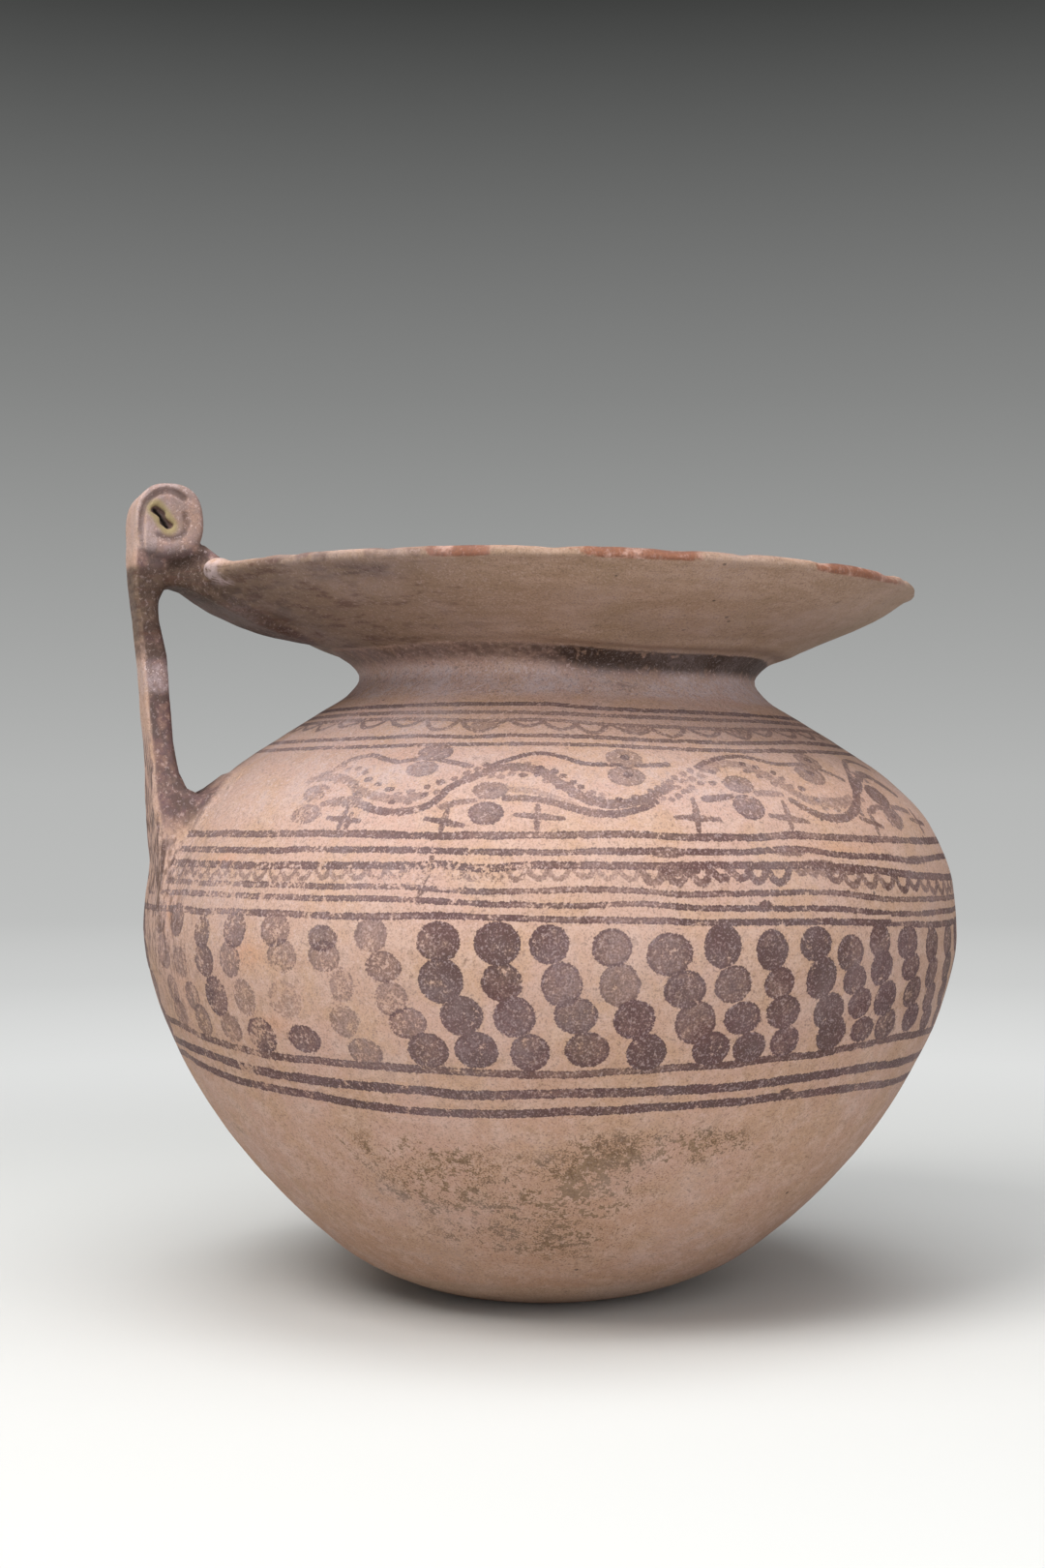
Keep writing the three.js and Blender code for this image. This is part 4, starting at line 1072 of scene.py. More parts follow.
# dark painted band under the join, all round; under the overhang it is broader and darker, and that part is painted
# shade
under = neck * (step(ZS, zc - 6.5 - 2.5 * over, zc - 2.2 - 1.5 * over) * (.75 + .25 * over))
# painted shadow under the funnel's overhang, just below the join on the right front
below = ZS - zc + .5
shadow = np.exp(-(np.maximum(below, 0) / .8) ** 2 - (np.minimum(below, 0) / 4.6) ** 2) * over * step(DEG, -120, -100) * outside
lip = step(LIP_D, 4.0, 2.6) * (1 - .75 * step(LIP_A, 2.6, 3.0)) * step(LIP_A, -1.1, -.1)
lip = np.clip(lip, 0, 1)
back_lip = lip * step(LIP_A, .3, 1.3)
# brown strokes and scratches under the funnel towards the handle
streak = funnel * (step(np.abs(turn(DEG - 180)), 74, 20) * .85 + .25 * spot(-128, 212, 20, 8))
# handle: the flat sides and the inner face are painted, the outer face left pale
nu = -NORMAL[:, 0]
grip_paint = on_handle * step(nu, .80, .5)
grip_paint = grip_paint * (1 - .8 * step(P[:, 2], 152, 143) * step(nu, -.2, .35)) * step(P[:, 2], 133, 146)
tongue_low = on_handle * step(P[:, 2], 229, 224) * step(P[:, 2], 200, 212) * step(-P[:, 0], 125, 121)
low_u = on_handle * step(nu, .15, .55) * step(P[:, 2], 178, 168)
bloom = bloom + on_handle * .7 * step(P[:, 2], 226, 233)
bloom = bloom + .5 * step(ZS, 138, 160) * step(ZS, 186, 178) * outside * (1 - on_handle)
bloom = bloom + (.4 * spot(-165, 130, 22, 34) + .3 * spot(-140, 120, 16, 20)) * (1 - on_handle)
bloom = bloom + neck * (1.2 + .6 * spot(-140, 190, 34, 8)) * step(ZS, zc - 3.5, zc - 8)
tongue_low = np.maximum(tongue_low, np.clip(1.25 * funnel * (1 - lip) * spot(178, 214, 30, 12), 0, 1))
back_lip = np.maximum(back_lip * .5, lip * np.clip(1.3 * spot(-142, 221, 15, 12), 0, 1))
grip_paint = grip_paint * (1 - .35 * step(P[:, 2], 228, 234))
orange = orange + lip * (spot(-97, 222, 9, 9) + .9 * spot(-122, 222, 5, 9) + .9 * spot(-56, 222, 15, 9) + .7 * spot(30, 222, 20, 9) + .7 * spot(110, 222, 14, 9))
tongue_low = np.maximum(tongue_low, np.clip(1.3 * funnel * spot(-140, 217.8, 11, 2.3) * (1 - lip), 0, 1))
# painted shade in the coil's grooves
groove = np.minimum(_path(-P[:, 0], P[:, 2], GROOVE_LONG), _path(-P[:, 0], P[:, 2], GROOVE_SHORT))
groove = step(groove, 1.3, .3) * step(np.abs(P[:, 1]), 9.5, 11.0) * on_handle * (P[:, 2] > 225)
core = roll_outline(-P[:, 0], P[:, 2])
foot = np.clip(1.2 * spot(-186, 132, 15, 24) + .6 * spot(-172, 108, 10, 22), 0, 1) * outside * (ZS > 84)
# painted shade under the roll where it overhangs the tongue
roll_overhang_shade = on_handle * step(core, -.4, .5) * step(core, 4.2, 1.6) * (P[:, 2] < 232) * step(-P[:, 0], 124, 120) * (P[:, 2] > 220)
put("hollow", "FLOAT_VECTOR", "POINT", np.stack([groove, roll_overhang_shade, foot], -1))
put("zone", "FLOAT_VECTOR", "POINT", np.stack([on_handle, inside, lip], -1))
put("state", "FLOAT_VECTOR", "POINT", np.stack([wear, bloom * outside, stain * outside], -1))
put("tint_and_shade", "FLOAT_VECTOR", "POINT", np.stack([orange, right_shade_and_low_dark, streak], -1))
put("join", "FLOAT_VECTOR", "POINT", np.stack([neck, under, shadow], -1))
put("grip", "FLOAT_VECTOR", "POINT", np.stack([grip_paint, tongue_low, low_u], -1))
put("height", "FLOAT_VECTOR", "POINT", np.stack([ZS / 1000, funnel, back_lip], -1))


# =============================================================== the material
def srgb(r, g, b):
    def one(c):
        c /= 255
        return c / 12.92 if c <= .04045 else ((c + .055) / 1.055) ** 2.4
    return (one(r), one(g), one(b), 1.0)


class Graph:
    """A short way to write shader nodes."""

    def __init__(self, tree):
        self.tree = tree

    def node(self, kind, **props):
        n = self.tree.nodes.new(kind)
        for k, v in props.items():
            setattr(n, k, v)
        return n

    def feed(self, socket, value):
        if hasattr(value, "is_linked"):
            self.tree.links.new(value, socket)
        elif isinstance(value, tuple) and len(value) == 3 and socket.type == "RGBA":
            socket.default_value = value + (1.0,)
        else:
            socket.default_value = value

    def m(self, op, a, b=None, c=None, clamp=False):
        n = self.node("ShaderNodeMath", operation=op, use_clamp=clamp)
        for i, v in enumerate((a, b, c)):
            if v is not None:
                self.feed(n.inputs[i], v)
        return n.outputs[0]

    def add(self, *v):
        out = v[0]
        for x in v[1:]:
            out = self.m("ADD", out, x)
        return out

    def mul(self, *v):
        out = v[0]
        for x in v[1:]:
            out = self.m("MULTIPLY", out, x)
        return out

    def sub(self, a, b):
        return self.m("SUBTRACT", a, b)

    def inv(self, a):
        return self.m("SUBTRACT", 1.0, a)

    def most(self, *v):
        out = v[0]
        for x in v[1:]:
            out = self.m("MAXIMUM", out, x)
        return out

    def ramp(self, x, a, b, lo=0.0, hi=1.0, kind="SMOOTHSTEP"):
        n = self.node("ShaderNodeMapRange", interpolation_type=kind)
        for name, v in (("Value", x), ("From Min", a), ("From Max", b), ("To Min", lo), ("To Max", hi)):
            self.feed(n.inputs[name], v)
        return n.outputs[0]

    def noise(self, vec, size, detail=3.0, rough=.5, distort=0.0):
        """Noise with features of about size mm, from 0 to 1."""
        n = self.node("ShaderNodeTexNoise")
        self.feed(n.inputs["Vector"], vec)
        n.inputs["Scale"].default_value = 1000.0 / size
        n.inputs["Detail"].default_value = detail
        n.inputs["Roughness"].default_value = rough
        n.inputs["Distortion"].default_value = distort
        return n.outputs[0]

    def cells(self, vec, size, feature="F1", random=1.0):
        n = self.node("ShaderNodeTexVoronoi", feature=feature)
        self.feed(n.inputs["Vector"], vec)
        n.inputs["Scale"].default_value = 1000.0 / size
        n.inputs["Randomness"].default_value = random
        return n.outputs["Distance"]

    def stretch(self, vec, x, y, z):
        n = self.node("ShaderNodeMapping")
        self.feed(n.inputs["Vector"], vec)
        n.inputs["Scale"].default_value = (x, y, z)
        return n.outputs[0]

    def mix(self, f, a, b, blend="MIX"):
        n = self.node("ShaderNodeMix", data_type="RGBA", blend_type=blend)
        self.feed(n.inputs[0], f)
        self.feed(n.inputs[6], a)
        self.feed(n.inputs[7], b)
        return n.outputs[2]

    def attr(self, name):
        n = self.node("ShaderNodeAttribute", attribute_name=name, attribute_type="GEOMETRY")
        s = self.node("ShaderNodeSeparateXYZ")
        self.tree.links.new(n.outputs["Vector"], s.inputs[0])
        return s.outputs[0], s.outputs[1], s.outputs[2]


def clay_material():
    mat = bpy.data.materials.new("painted_clay")
    mat.use_nodes = True
    t = mat.node_tree
    t.nodes.clear()
    g = Graph(t)
    pos = g.node("ShaderNodeTexCoord").outputs["Object"]
    on_grip, inner, lip_m = g.attr("zone")
    wear_a, bloom_a, stain_a = g.attr("state")
    orange_a, right_shade_and_low_dark_a, streak_a = g.attr("tint_and_shade")
    neck_a, under_a, shade_a = g.attr("join")
    grip_a, tongue_a, low_a = g.attr("grip")
    height, funnel_a, back_lip_a = g.attr("height")
    z_mm = g.mul(height, 1000.0)
    # noises used in several places
    n40 = g.noise(pos, 46, 2, .55)
    n16 = g.noise(pos, 17, 3, .6)
    n6 = g.noise(pos, 6.5, 3, .6)
    n2 = g.noise(pos, 2.6, 3, .65)
    n1 = g.noise(pos, 1.1, 2, .7)
    n05 = g.noise(pos, .55, 1, .6)
    brushed = g.noise(g.stretch(pos, 1, 1, .28), 1.5, 2, .6)      # streaks up and down
    wiped = g.noise(g.stretch(pos, .3, .3, 1.6), 3.0, 3, .6)      # streaks round the jug

    # ---- bare clay: pinker above, browner below, cloudy, with grit
    low = g.ramp(z_mm, 128, 62)
    lowest = g.ramp(z_mm, 60, 8)
    clay = g.mix(low, CLAY_TOP, CLAY_MID)
    clay = g.mix(lowest, clay, CLAY_LOW)
    clay = g.mix(g.mul(g.ramp(n40, .38, .66), .42), clay, CLAY_PINK)
    clay = g.mix(g.mul(g.ramp(n16, .44, .62), .5), clay, CLAY_YELLOW)
    # painted shade low on the right side, and darker towards the bottom all round
    clay = g.mix(g.mul(right_shade_and_low_dark_a, .75), clay, CLAY_DUSK)
    clay = g.mix(g.mul(g.ramp(n6, .4, .66), .34), clay, CLAY_PALE)
    clay = g.mix(g.mul(g.ramp(n2, .5, .68), .42), clay, CLAY_BROWN)
    clay = g.mix(g.mul(g.ramp(g.add(g.mul(n16, .5), g.mul(n2, .5)), .5, .6), low, .45), clay, CLAY_BROWN)
    clay = g.mix(g.mul(orange_a, g.ramp(n6, .3, .55), .8), clay, CLAY_ORANGE)
    # funnel's underside: olive, wiped sideways, and darkened as painted shade under the funnel
    olive_and_shaded_underside = g.mix(g.ramp(wiped, .35, .68), FUNNEL_A, FUNNEL_B)
    olive_and_shaded_underside = g.mix(g.mul(g.ramp(n40, .5, .62), .5), olive_and_shaded_underside, FUNNEL_C)
    olive_and_shaded_underside = g.mix(g.mul(streak_a, .75), olive_and_shaded_underside, FUNNEL_DARK)
    clay = g.mix(g.mul(funnel_a, .92), clay, olive_and_shaded_underside)
    # lip: rubbed through to red clay
    red = g.mix(g.mul(g.ramp(n6, .5, .66), .6), LIP_RED, LIP_PALE)
    clay = g.mix(g.mul(g.ramp(lip_m, .35, .75), g.ramp(g.add(orange_a, g.mul(g.sub(n16, .5), .8), g.mul(g.sub(n2, .5), .6)), .3, .5)), clay, red)
    # inside: plain, dusty, wiped by the potter's hand
    inner_clay = g.mix(g.ramp(wiped, .35, .65), INNER_A, INNER_B)
    inner_clay = g.mix(g.mul(g.ramp(n16, .45, .7), .5), inner_clay, INNER_C)
    clay = g.mix(inner, clay, inner_clay)
    # fine grit and pits
    grit = g.ramp(n1, .66, .74)
    clay = g.mix(g.mul(grit, .4), clay, CLAY_GRIT)
    pit_d = g.cells(pos, 9.0)
    pit = g.mul(g.ramp(pit_d, .085, .05), g.ramp(n16, .5, .56))
    clay = g.mix(g.mul(pit, .85), clay, PIT)
    # olive and brown staining low down
    blot = g.ramp(g.add(g.mul(n6, .34), g.mul(n2, .36), g.mul(n1, .3)), g.sub(.62, g.mul(stain_a, .15)), g.sub(.68, g.mul(stain_a, .15)))
    clay = g.mix(g.mul(stain_a, g.ramp(n16, .3, .6), .6), clay, CLAY_BROWN)
    stain = g.mul(g.ramp(stain_a, .1, .8), blot)
    clay = g.mix(g.mul(stain, .8), clay, STAIN_OLIVE)
    blot2 = g.ramp(g.add(g.mul(n16, .35), g.mul(n2, .3), g.mul(n05, .35)), .50, .60)
    clay = g.mix(g.mul(g.ramp(stain_a, .2, .8), blot2, .85), clay, STAIN_BROWN)

    # ---- the brushed marks
    ragged = g.add(g.mul(g.sub(n1, .5), .8), g.mul(g.sub(n05, .5), .5), g.mul(g.sub(n2, .5), .7))
    total, second, brown_sum, weight = None, None, None, None
    for i in range(SLOTS):
        u, v, ln = g.attr("mark%d" % i)
        op, br, sc = g.attr("style%d" % i)
        cl = g.m("MAXIMUM", g.m("MINIMUM", u, ln), 0.0)
        du = g.sub(u, cl)
        rho = g.m("SQRT", g.add(g.mul(du, du), g.mul(v, v)))
        dist = g.add(g.mul(g.inv(rho), sc), g.mul(ragged, g.m("MINIMUM", sc, .9)))
        mask = g.ramp(dist, -.46, -.04)
        rim = g.ramp(dist, 1.1, .2)
        big = g.ramp(sc, 1.9, 2.6)
        tone = g.mul(mask, op, g.add(.86, g.mul(g.mul(rim, big), .16)))
        if total is None:
            total, second, brown_sum, weight = tone, g.mul(tone, big), g.mul(tone, br), tone
        else:
            second = g.add(second, g.mul(tone, big))
            total = g.m("MAXIMUM", total, tone)
            brown_sum = g.add(brown_sum, g.mul(tone, br))
            weight = g.add(weight, tone)
    twice = g.mul(g.m("SUBTRACT", second, total, clamp=True), .35)
    brown = g.m("DIVIDE", brown_sum, g.add(weight, .001))
    # ---- the brushed bands round it
    off, half, code = g.attr("band")
    band_brown = g.mul(g.m("FLOOR", g.m("DIVIDE", code, 10.0)), .1)
    band_op = g.m("MODULO", code, 10.0)
    n_w, n_o = n6, n16
    width = g.mul(half, g.add(.80, g.mul(n_w, .95)))
    edge = g.sub(width, g.m("ABSOLUTE", g.add(off, g.mul(g.sub(n_o, .5), .9))))
    band_m = g.mul(g.ramp(g.add(edge, g.mul(ragged, .8)), -.15, .2), band_op)
    band_m = g.mul(band_m, g.add(.82, g.mul(g.ramp(edge, .7, .1), .14)))
    band_first = g.m("GREATER_THAN", band_m, total)
    brown = g.add(g.mul(brown, g.inv(band_first)), g.mul(band_brown, band_first))
    paint = g.m("ADD", g.most(total, band_m), twice, clamp=True)
    paint = g.mul(paint, g.inv(inner))
    # two bands inside the lip
    in_band = g.most(g.ramp(g.m("ABSOLUTE", g.sub(z_mm, g.add(215.2, g.mul(n_o, 1.2)))), 1.5, .8), g.ramp(g.m("ABSOLUTE", g.sub(z_mm, g.add(210.4, g.mul(n_o, 1.2)))), 1.2, .6))
    in_band = g.mul(in_band, inner, g.add(.3, g.mul(g.ramp(n16, .38, .6), .35)))
    paint = g.m("MAXIMUM", paint, in_band)
    # wear: more where the jug was handled, in flecks and rubbed patches
    fleck = g.ramp(g.add(g.mul(n1, .5), g.mul(n2, .35), g.mul(brushed, .15)), .34, .66)
    patch = g.ramp(n6, .3, .75)
    life = g.add(g.mul(fleck, .62), g.mul(patch, .38))
    alive = g.ramp(life, g.mul(wear_a, .72), g.add(g.mul(wear_a, .72), .24))
    mottle = g.add(.68, g.mul(g.ramp(n1, .36, .56), .16), g.mul(g.ramp(n2, .3, .6), .16), g.mul(g.ramp(n16, .3, .7), .14))
    paint = g.mul(paint, g.add(.2, g.mul(alive, .8)), mottle)

    # ---- areas of paint without drawn marks
    n_thin = g.ramp(g.add(g.mul(n2, .5), g.mul(n6, .5)), .36, .62)
    neck_p = g.mul(neck_a, g.add(.0, g.mul(g.ramp(g.add(g.mul(wiped, .5), g.mul(n1, .5)), .50, .66), .5)))
    # the painted band under the join, with painted shade where it is broader and darker under the overhang
    under_p = g.mul(under_a, g.add(.72, g.mul(g.ramp(n2, .35, .6), .28)))
    grip_p = g.mul(grip_a, g.add(.76, g.mul(g.ramp(g.add(g.mul(n2, .6), g.mul(n6, .4)), .40, .58), .24)))
    # stripes low on the strap's outer face
    split = g.node("ShaderNodeSeparateXYZ")
    t.links.new(pos, split.inputs[0])
    y_mm = g.mul(split.outputs[1], 1000.0)
    wavy = g.add(y_mm, g.mul(g.sub(n_o, .5), 5.0))
    stripes = g.ramp(g.m("ABSOLUTE", g.sub(g.m("PINGPONG", g.add(wavy, 40.0), 3.2), 1.6)), 1.0, .5)
    low_p = g.mul(low_a, stripes, g.ramp(n6, .34, .56), .8)
    tongue_p = g.mul(tongue_a, g.add(.35, g.mul(g.ramp(wiped, .4, .6), .45)))
    streak_p = g.mul(streak_a, g.ramp(g.noise(g.stretch(pos, .35, .35, 2.2), 3.4, 3, .65), g.sub(.62, g.mul(streak_a, .16)), g.sub(.74, g.mul(streak_a, .12))))
    back_lip_p = g.mul(back_lip_a, g.ramp(n16, .44, .56), .7)
    wash = g.most(neck_p, under_p, grip_p, low_p, tongue_p, back_lip_p)
    wash = g.mul(wash, g.add(.80, g.mul(g.ramp(life, .1, .42), .20)))

    # ---- colour of the paint
    tone_n = g.ramp(n16, .35, .65)
    lilac = g.mix(tone_n, PAINT_LILAC, PAINT_GREY)
    warm = g.mix(g.ramp(n6, .35, .65), PAINT_BROWN, PAINT_RED)
    brown = g.m("ADD", brown, g.mul(g.sub(n6, .5), .7), clamp=True)
    marks_c = g.mix(brown, lilac, warm)
    marks_c = g.mix(g.mul(g.ramp(n2, .6, .78), .5), marks_c, PAINT_DEEP)
    wash_c = g.mix(g.ramp(n6, .4, .62), PAINT_LILAC, PAINT_DEEP)
    # darker paint on the band under the join, with its painted shade, and on the tongue's underside
    wash_c = g.mix(g.m("MAXIMUM", under_a, tongue_a), wash_c, PAINT_DARK)
    colour = g.mix(g.m("MINIMUM", g.mul(paint, g.add(1.08, g.mul(g.ramp(g.add(g.mul(n40, .5), g.mul(n6, .5)), .42, .6), .34))), .98), clay, marks_c)
    colour = g.mix(g.m("MINIMUM", wash, .95), colour, wash_c)
    colour = g.mix(g.mul(streak_p, .8), colour, PAINT_BROWN)
    # painted shadow under the funnel's overhang: a very dark, flaky line in the join
    flaky = g.ramp(g.add(shade_a, g.mul(g.sub(n6, .5), .9), g.mul(g.sub(n2, .5), .7)), .12, .62)
    colour = g.mix(g.mul(flaky, .92), colour, PAINTED_SHADOW_DARK)
    flake = g.mul(shade_a, g.ramp(n6, .6, .66))
    colour = g.mix(g.mul(flake, .7), colour, CLAY_DUSK)

    # ---- white bloom over everything
    dust = g.ramp(g.add(g.mul(n2, .4), g.mul(n1, .4), g.mul(n6, .2)), .46, .58)
    dust2 = g.ramp(g.noise(pos, 30, 2, .62), .42, .66)
    bloom = g.mul(g.m("MAXIMUM", g.mul(bloom_a, g.add(.45, g.mul(dust2, .75))), g.mul(dust2, .30)), g.add(.3, g.mul(dust, .7)))
    colour = g.mix(g.mul(bloom, .66), colour, BLOOM)
    sparkle = g.mul(g.ramp(n05, .68, .76), g.add(.12, g.mul(bloom_a, .5)))
    colour = g.mix(sparkle, colour, BLOOM)
    # brown streaks by the handle's foot, and painted shade: dark in the coil's grooves and where it overhangs the
    # tongue
    groove_shade_a, roll_overhang_shade_a, foot_a = g.attr("hollow")
    colour = g.mix(g.mul(foot_a, g.ramp(g.add(g.mul(brushed, .6), g.mul(n6, .4)), .47, .58), .8), colour, PAINT_BROWN)
    colour = g.mix(g.mul(groove_shade_a, .6), colour, PAINT_DEEP)
    colour = g.mix(g.mul(roll_overhang_shade_a, .85), colour, PAINTED_SHADOW_DARK)
    # the paint itself is speckled, pale and dark
    fine = g.add(g.mul(n1, .4), g.mul(n05, .6))
    colour = g.mix(g.mul(paint, g.ramp(fine, .49, .38), .22), colour, BLOOM)
    colour = g.mix(g.mul(paint, g.ramp(fine, .52, .64), .35), colour, PAINT_DEEP)
    # fine speckle over all
    colour = g.mix(g.mul(g.ramp(n05, .50, .62), .22), colour, SPECK)
    colour = g.mix(g.mul(g.ramp(n1, .56, .66), .26), colour, SPECK)
    colour = g.mix(g.mul(g.ramp(n1, .44, .34), g.add(.16, g.mul(bloom_a, .35))), colour, BLOOM)
    # olive deposit in the coil's slit, painted shade deep in it, and pale lumps on the rim
    slit = g.mul(on_grip, g.attr("slit")[0])
    colour = g.mix(g.mul(slit, .85), colour, DEPOSIT)
    # painted shade, near black, deep in the slit
    colour = g.mix(g.attr("slit")[1], colour, SLIT_SHADE_BLACK)
    pale = g.attr("slit")[2]
    colour = g.mix(g.mul(pale, g.ramp(n2, .36, .6), .7), colour, BLOOM)

    # ---- surface
    rough = g.add(.72, g.mul(n2, .16), g.mul(paint, -.05), g.mul(bloom, .06))
    grain = g.add(g.mul(n05, .10), g.mul(n1, .16), g.mul(n2, .22), g.mul(n6, .35))
    level = g.add(grain, g.mul(neck_a, n1, .3))
    bump = g.node("ShaderNodeBump")
    bump.inputs["Strength"].default_value = .8
    bump.inputs["Distance"].default_value = .0007
    t.links.new(level, bump.inputs["Height"])
    b = g.node("ShaderNodeBsdfPrincipled")
    t.links.new(colour, b.inputs["Base Color"])
    t.links.new(rough, b.inputs["Roughness"])
    t.links.new(bump.outputs[0], b.inputs["Normal"])
    b.inputs["Specular IOR Level"].default_value = .28
    out = g.node("ShaderNodeOutputMaterial")
    t.links.new(b.outputs[0], out.inputs["Surface"])
    return mat


CLAY_TOP = (.510, .330, .255)
CLAY_MID = (.445, .268, .185)
CLAY_LOW = (.430, .250, .160)
CLAY_PINK = (.520, .325, .270)
CLAY_YELLOW = (.490, .305, .185)
CLAY_DUSK = (.370, .225, .155)
CLAY_PALE = (.580, .415, .345)
CLAY_BROWN = (.370, .225, .150)
CLAY_ORANGE = (.560, .270, .140)
CLAY_GRIT = (.270, .165, .120)
PIT = (.045, .025, .018)
# the funnel's underside: olive, and darker than the body as painted shade
FUNNEL_A = (.285, .185, .122)
FUNNEL_B = (.350, .235, .170)
FUNNEL_DARK = (.155, .105, .068)
FUNNEL_C = (.255, .172, .105)
LIP_RED = (0.240, 0.098, 0.056)
LIP_PALE = (.600, .380, .310)
INNER_A = (.440, .290, .205)
INNER_B = (.390, .250, .170)
INNER_C = (.470, .335, .260)
STAIN_OLIVE = (.200, .125, .070)
STAIN_BROWN = (.160, .090, .045)
PAINT_LILAC = (0.098, 0.046, 0.052)
PAINT_GREY = (0.084, 0.048, 0.050)
PAINT_BROWN = (0.092, 0.044, 0.030)
PAINT_RED = (0.115, 0.048, 0.033)
PAINT_DEEP = (0.045, 0.024, 0.021)
PAINT_DARK = (0.052, 0.029, 0.020)
# painted shadow: near black, under the funnel's overhang and under the roll
PAINTED_SHADOW_DARK = (.032, .016, .009)
BLOOM = (.570, .450, .450)
DEPOSIT = (.300, .235, .110)
SPECK = (0.115, 0.070, 0.058)
SLIT_SHADE_BLACK = (.012, .008, .006)

# the slit in the coil, its deposit, painted shade deep in the slit, and the pale clay lumps on the rim
uu, yy, zz = -P[:, 0], P[:, 1], P[:, 2]
slit_d = _path(uu, zz, SLIT)
slit_depth = ROLL_HALF - np.abs(yy)
deposit = step(slit_d, 3.6, 2.0) * step(slit_depth, 4, .6) * (zz > 228)
# painted shade, near black, deep in the slit
slit_shade = step(slit_d, 1.0, .4) * step(slit_depth, .7, 1.8) * (zz > 228) * (uu > 112)
pale_lump = np.zeros(len(P))
for cu, cy, cz, rr in LUMPS:
    pale_lump = np.maximum(pale_lump, step(np.sqrt((uu - cu) ** 2 + (yy - cy) ** 2 + (zz - cz) ** 2), rr * 2.1, rr * 1.1))
put("slit", "FLOAT_VECTOR", "POINT", np.stack([deposit, slit_shade, pale_lump], -1))

mesh.materials.clear()
mesh.materials.append(clay_material())

# ================================================================== the stage
VIEW_BACK = Vector((-0.309017, -0.951057, 0))
VIEW_RIGHT = Vector((0.951057, -0.309017, 0))


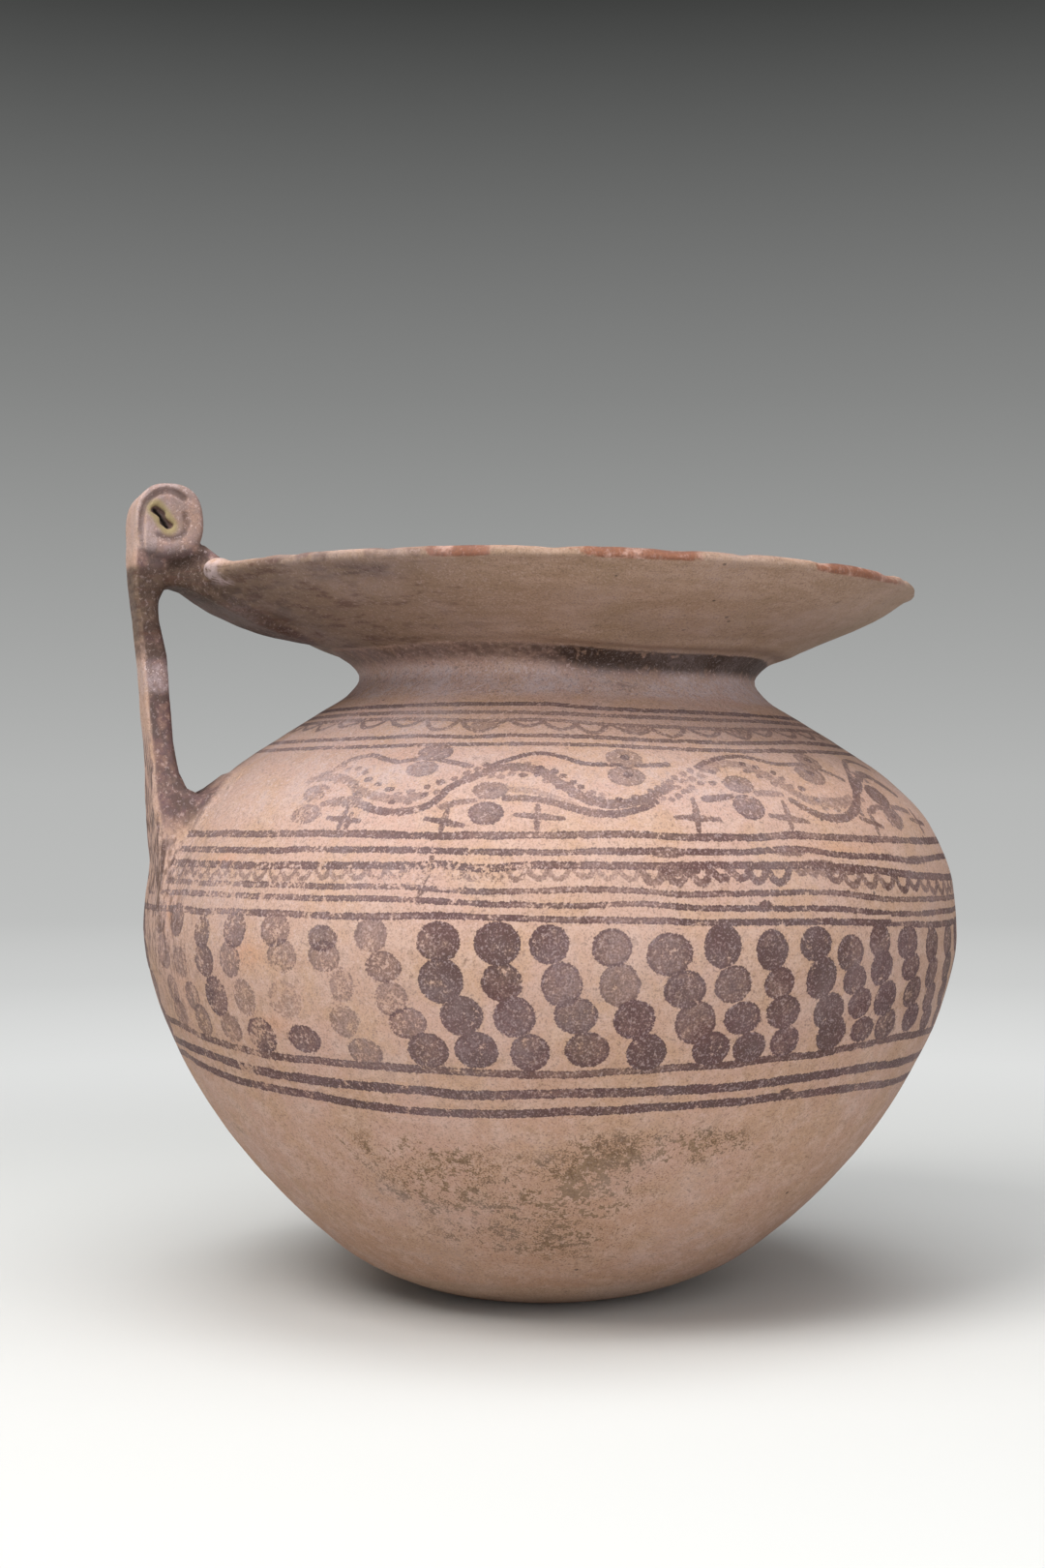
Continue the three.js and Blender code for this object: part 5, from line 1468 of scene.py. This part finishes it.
def stage():
    """A wide bowl, floor and wall in one: pale near the jug, darker up the wall, where the far part glows as painted
    light.
    """
    section = [(.0, 0.0)] + [(.06 + .04 * i, 0.0) for i in range(12)] + [(.6 + .125 * i, 0.0) for i in range(17)]
    for i in range(1, 17):
        a = math.pi / 2 * i / 16
        section.append((2.6 + .5 * math.sin(a), .5 - .5 * math.cos(a)))
    section += [(3.1, .5 + .25 * i) for i in range(1, 9)]
    sides = 96
    v, f = [(0.0, 0.0, 0.0)], []
    for d, h in section[1:]:
        for i in range(sides):
            a = math.tau * i / sides
            v.append((d * math.cos(a), d * math.sin(a), h))
    for i in range(sides):
        f.append((0, 1 + i, 1 + (i + 1) % sides))
    for k in range(len(section) - 2):
        for i in range(sides):
            j = (i + 1) % sides
            f.append((1 + k * sides + i, 1 + (k + 1) * sides + i, 1 + (k + 1) * sides + j, 1 + k * sides + j))
    m = bpy.data.meshes.new("floor")
    m.from_pydata(v, [], f)
    m.polygons.foreach_set("use_smooth", np.ones(len(m.polygons), bool))
    o = bpy.data.objects.new("floor", m)
    bpy.context.scene.collection.objects.link(o)
    mat = bpy.data.materials.new("floor")
    mat.use_nodes = True
    t = mat.node_tree
    t.nodes.clear()
    g = Graph(t)
    split = g.node("ShaderNodeSeparateXYZ")
    t.links.new(g.node("ShaderNodeTexCoord").outputs["Object"], split.inputs[0])
    x, y, z = split.outputs
    r = g.m("SQRT", g.add(g.mul(x, x), g.mul(y, y)))
    # one length along the section, floor first and then the wall
    along = g.add(r, g.mul(z, 2.0))
    ramp = g.node("ShaderNodeValToRGB")
    t.links.new(g.m("DIVIDE", along, 6.4), ramp.inputs[0])
    stops = BACKDROP_GLOW
    while len(ramp.color_ramp.elements) < len(stops):
        ramp.color_ramp.elements.new(.5)
    for e, (p, c) in zip(ramp.color_ramp.elements, stops):
        e.position = p / 6.4
        e.color = srgb(c, c + 1, c)
    near = g.node("ShaderNodeBsdfDiffuse")
    near.inputs["Color"].default_value = (.67, .675, .662, 1)
    # the far part glows: painted light, pale low down and darker up the wall
    far = g.node("ShaderNodeEmission")
    t.links.new(ramp.outputs[0], far.inputs["Color"])
    mix = g.node("ShaderNodeMixShader")
    t.links.new(g.ramp(r, .26, .74), mix.inputs[0])
    t.links.new(near.outputs[0], mix.inputs[1])
    t.links.new(far.outputs[0], mix.inputs[2])
    out = g.node("ShaderNodeOutputMaterial")
    t.links.new(mix.outputs[0], out.inputs["Surface"])
    m.materials.append(mat)
    return o


# the backdrop's painted light, a glow whose grey is given at a few distances in metres, out along the floor and,
# doubled, up the wall
BACKDROP_GLOW = [(.0, 240), (1.4, 205), (3.4, 182), (4.8, 132), (6.2, 56)]
floor = stage()


def area(name, at, to, size, power, colour=(1, 1, 1), size_y=None):
    d = bpy.data.lights.new(name, "AREA")
    d.energy = power
    d.color = colour
    d.shape = "RECTANGLE" if size_y else "SQUARE"
    d.size = size
    if size_y:
        d.size_y = size_y
    o = bpy.data.objects.new(name, d)
    o.location = at
    o.rotation_euler = (Vector(to) - Vector(at)).to_track_quat("-Z", "Y").to_euler()
    bpy.context.scene.collection.objects.link(o)
    return o


def at(right, back, up):
    return VIEW_RIGHT * right + VIEW_BACK * back + Vector((0, 0, up))


area("key", at(-.72, .9, 1.35), (0, 0, .11), .8, 19, (1, .985, .96))
area("top", at(.05, .3, 1.6), (0, 0, .1), 1.2, 18, (1, 1, 1))
area("fill", at(.35, 1.35, .6), (0, 0, .14), 1.1, 9.0, (.97, .98, 1))
world = bpy.data.worlds.new("world")
world.use_nodes = True
world.node_tree.nodes["Background"].inputs["Color"].default_value = (.9, .92, .95, 1)
world.node_tree.nodes["Background"].inputs["Strength"].default_value = .25
bpy.context.scene.world = world
bpy.context.scene.view_settings.view_transform = "Standard"
bpy.context.scene.view_settings.look = "None"

cam = bpy.data.cameras.new("camera")
cam.lens = 53.33
cam.sensor_width = 36
cam.clip_start = .05
cam_o = bpy.data.objects.new("camera", cam)
bpy.context.scene.collection.objects.link(cam_o)
cam_o.location = VIEW_BACK * .744 + VIEW_RIGHT * -.00656 + Vector((0, 0, .14925))
pitch = math.atan(35 / 2400)
look = -VIEW_BACK * math.cos(pitch) + Vector((0, 0, math.sin(pitch)))
cam_o.rotation_euler = look.to_track_quat("-Z", "Y").to_euler()
bpy.context.scene.camera = cam_o
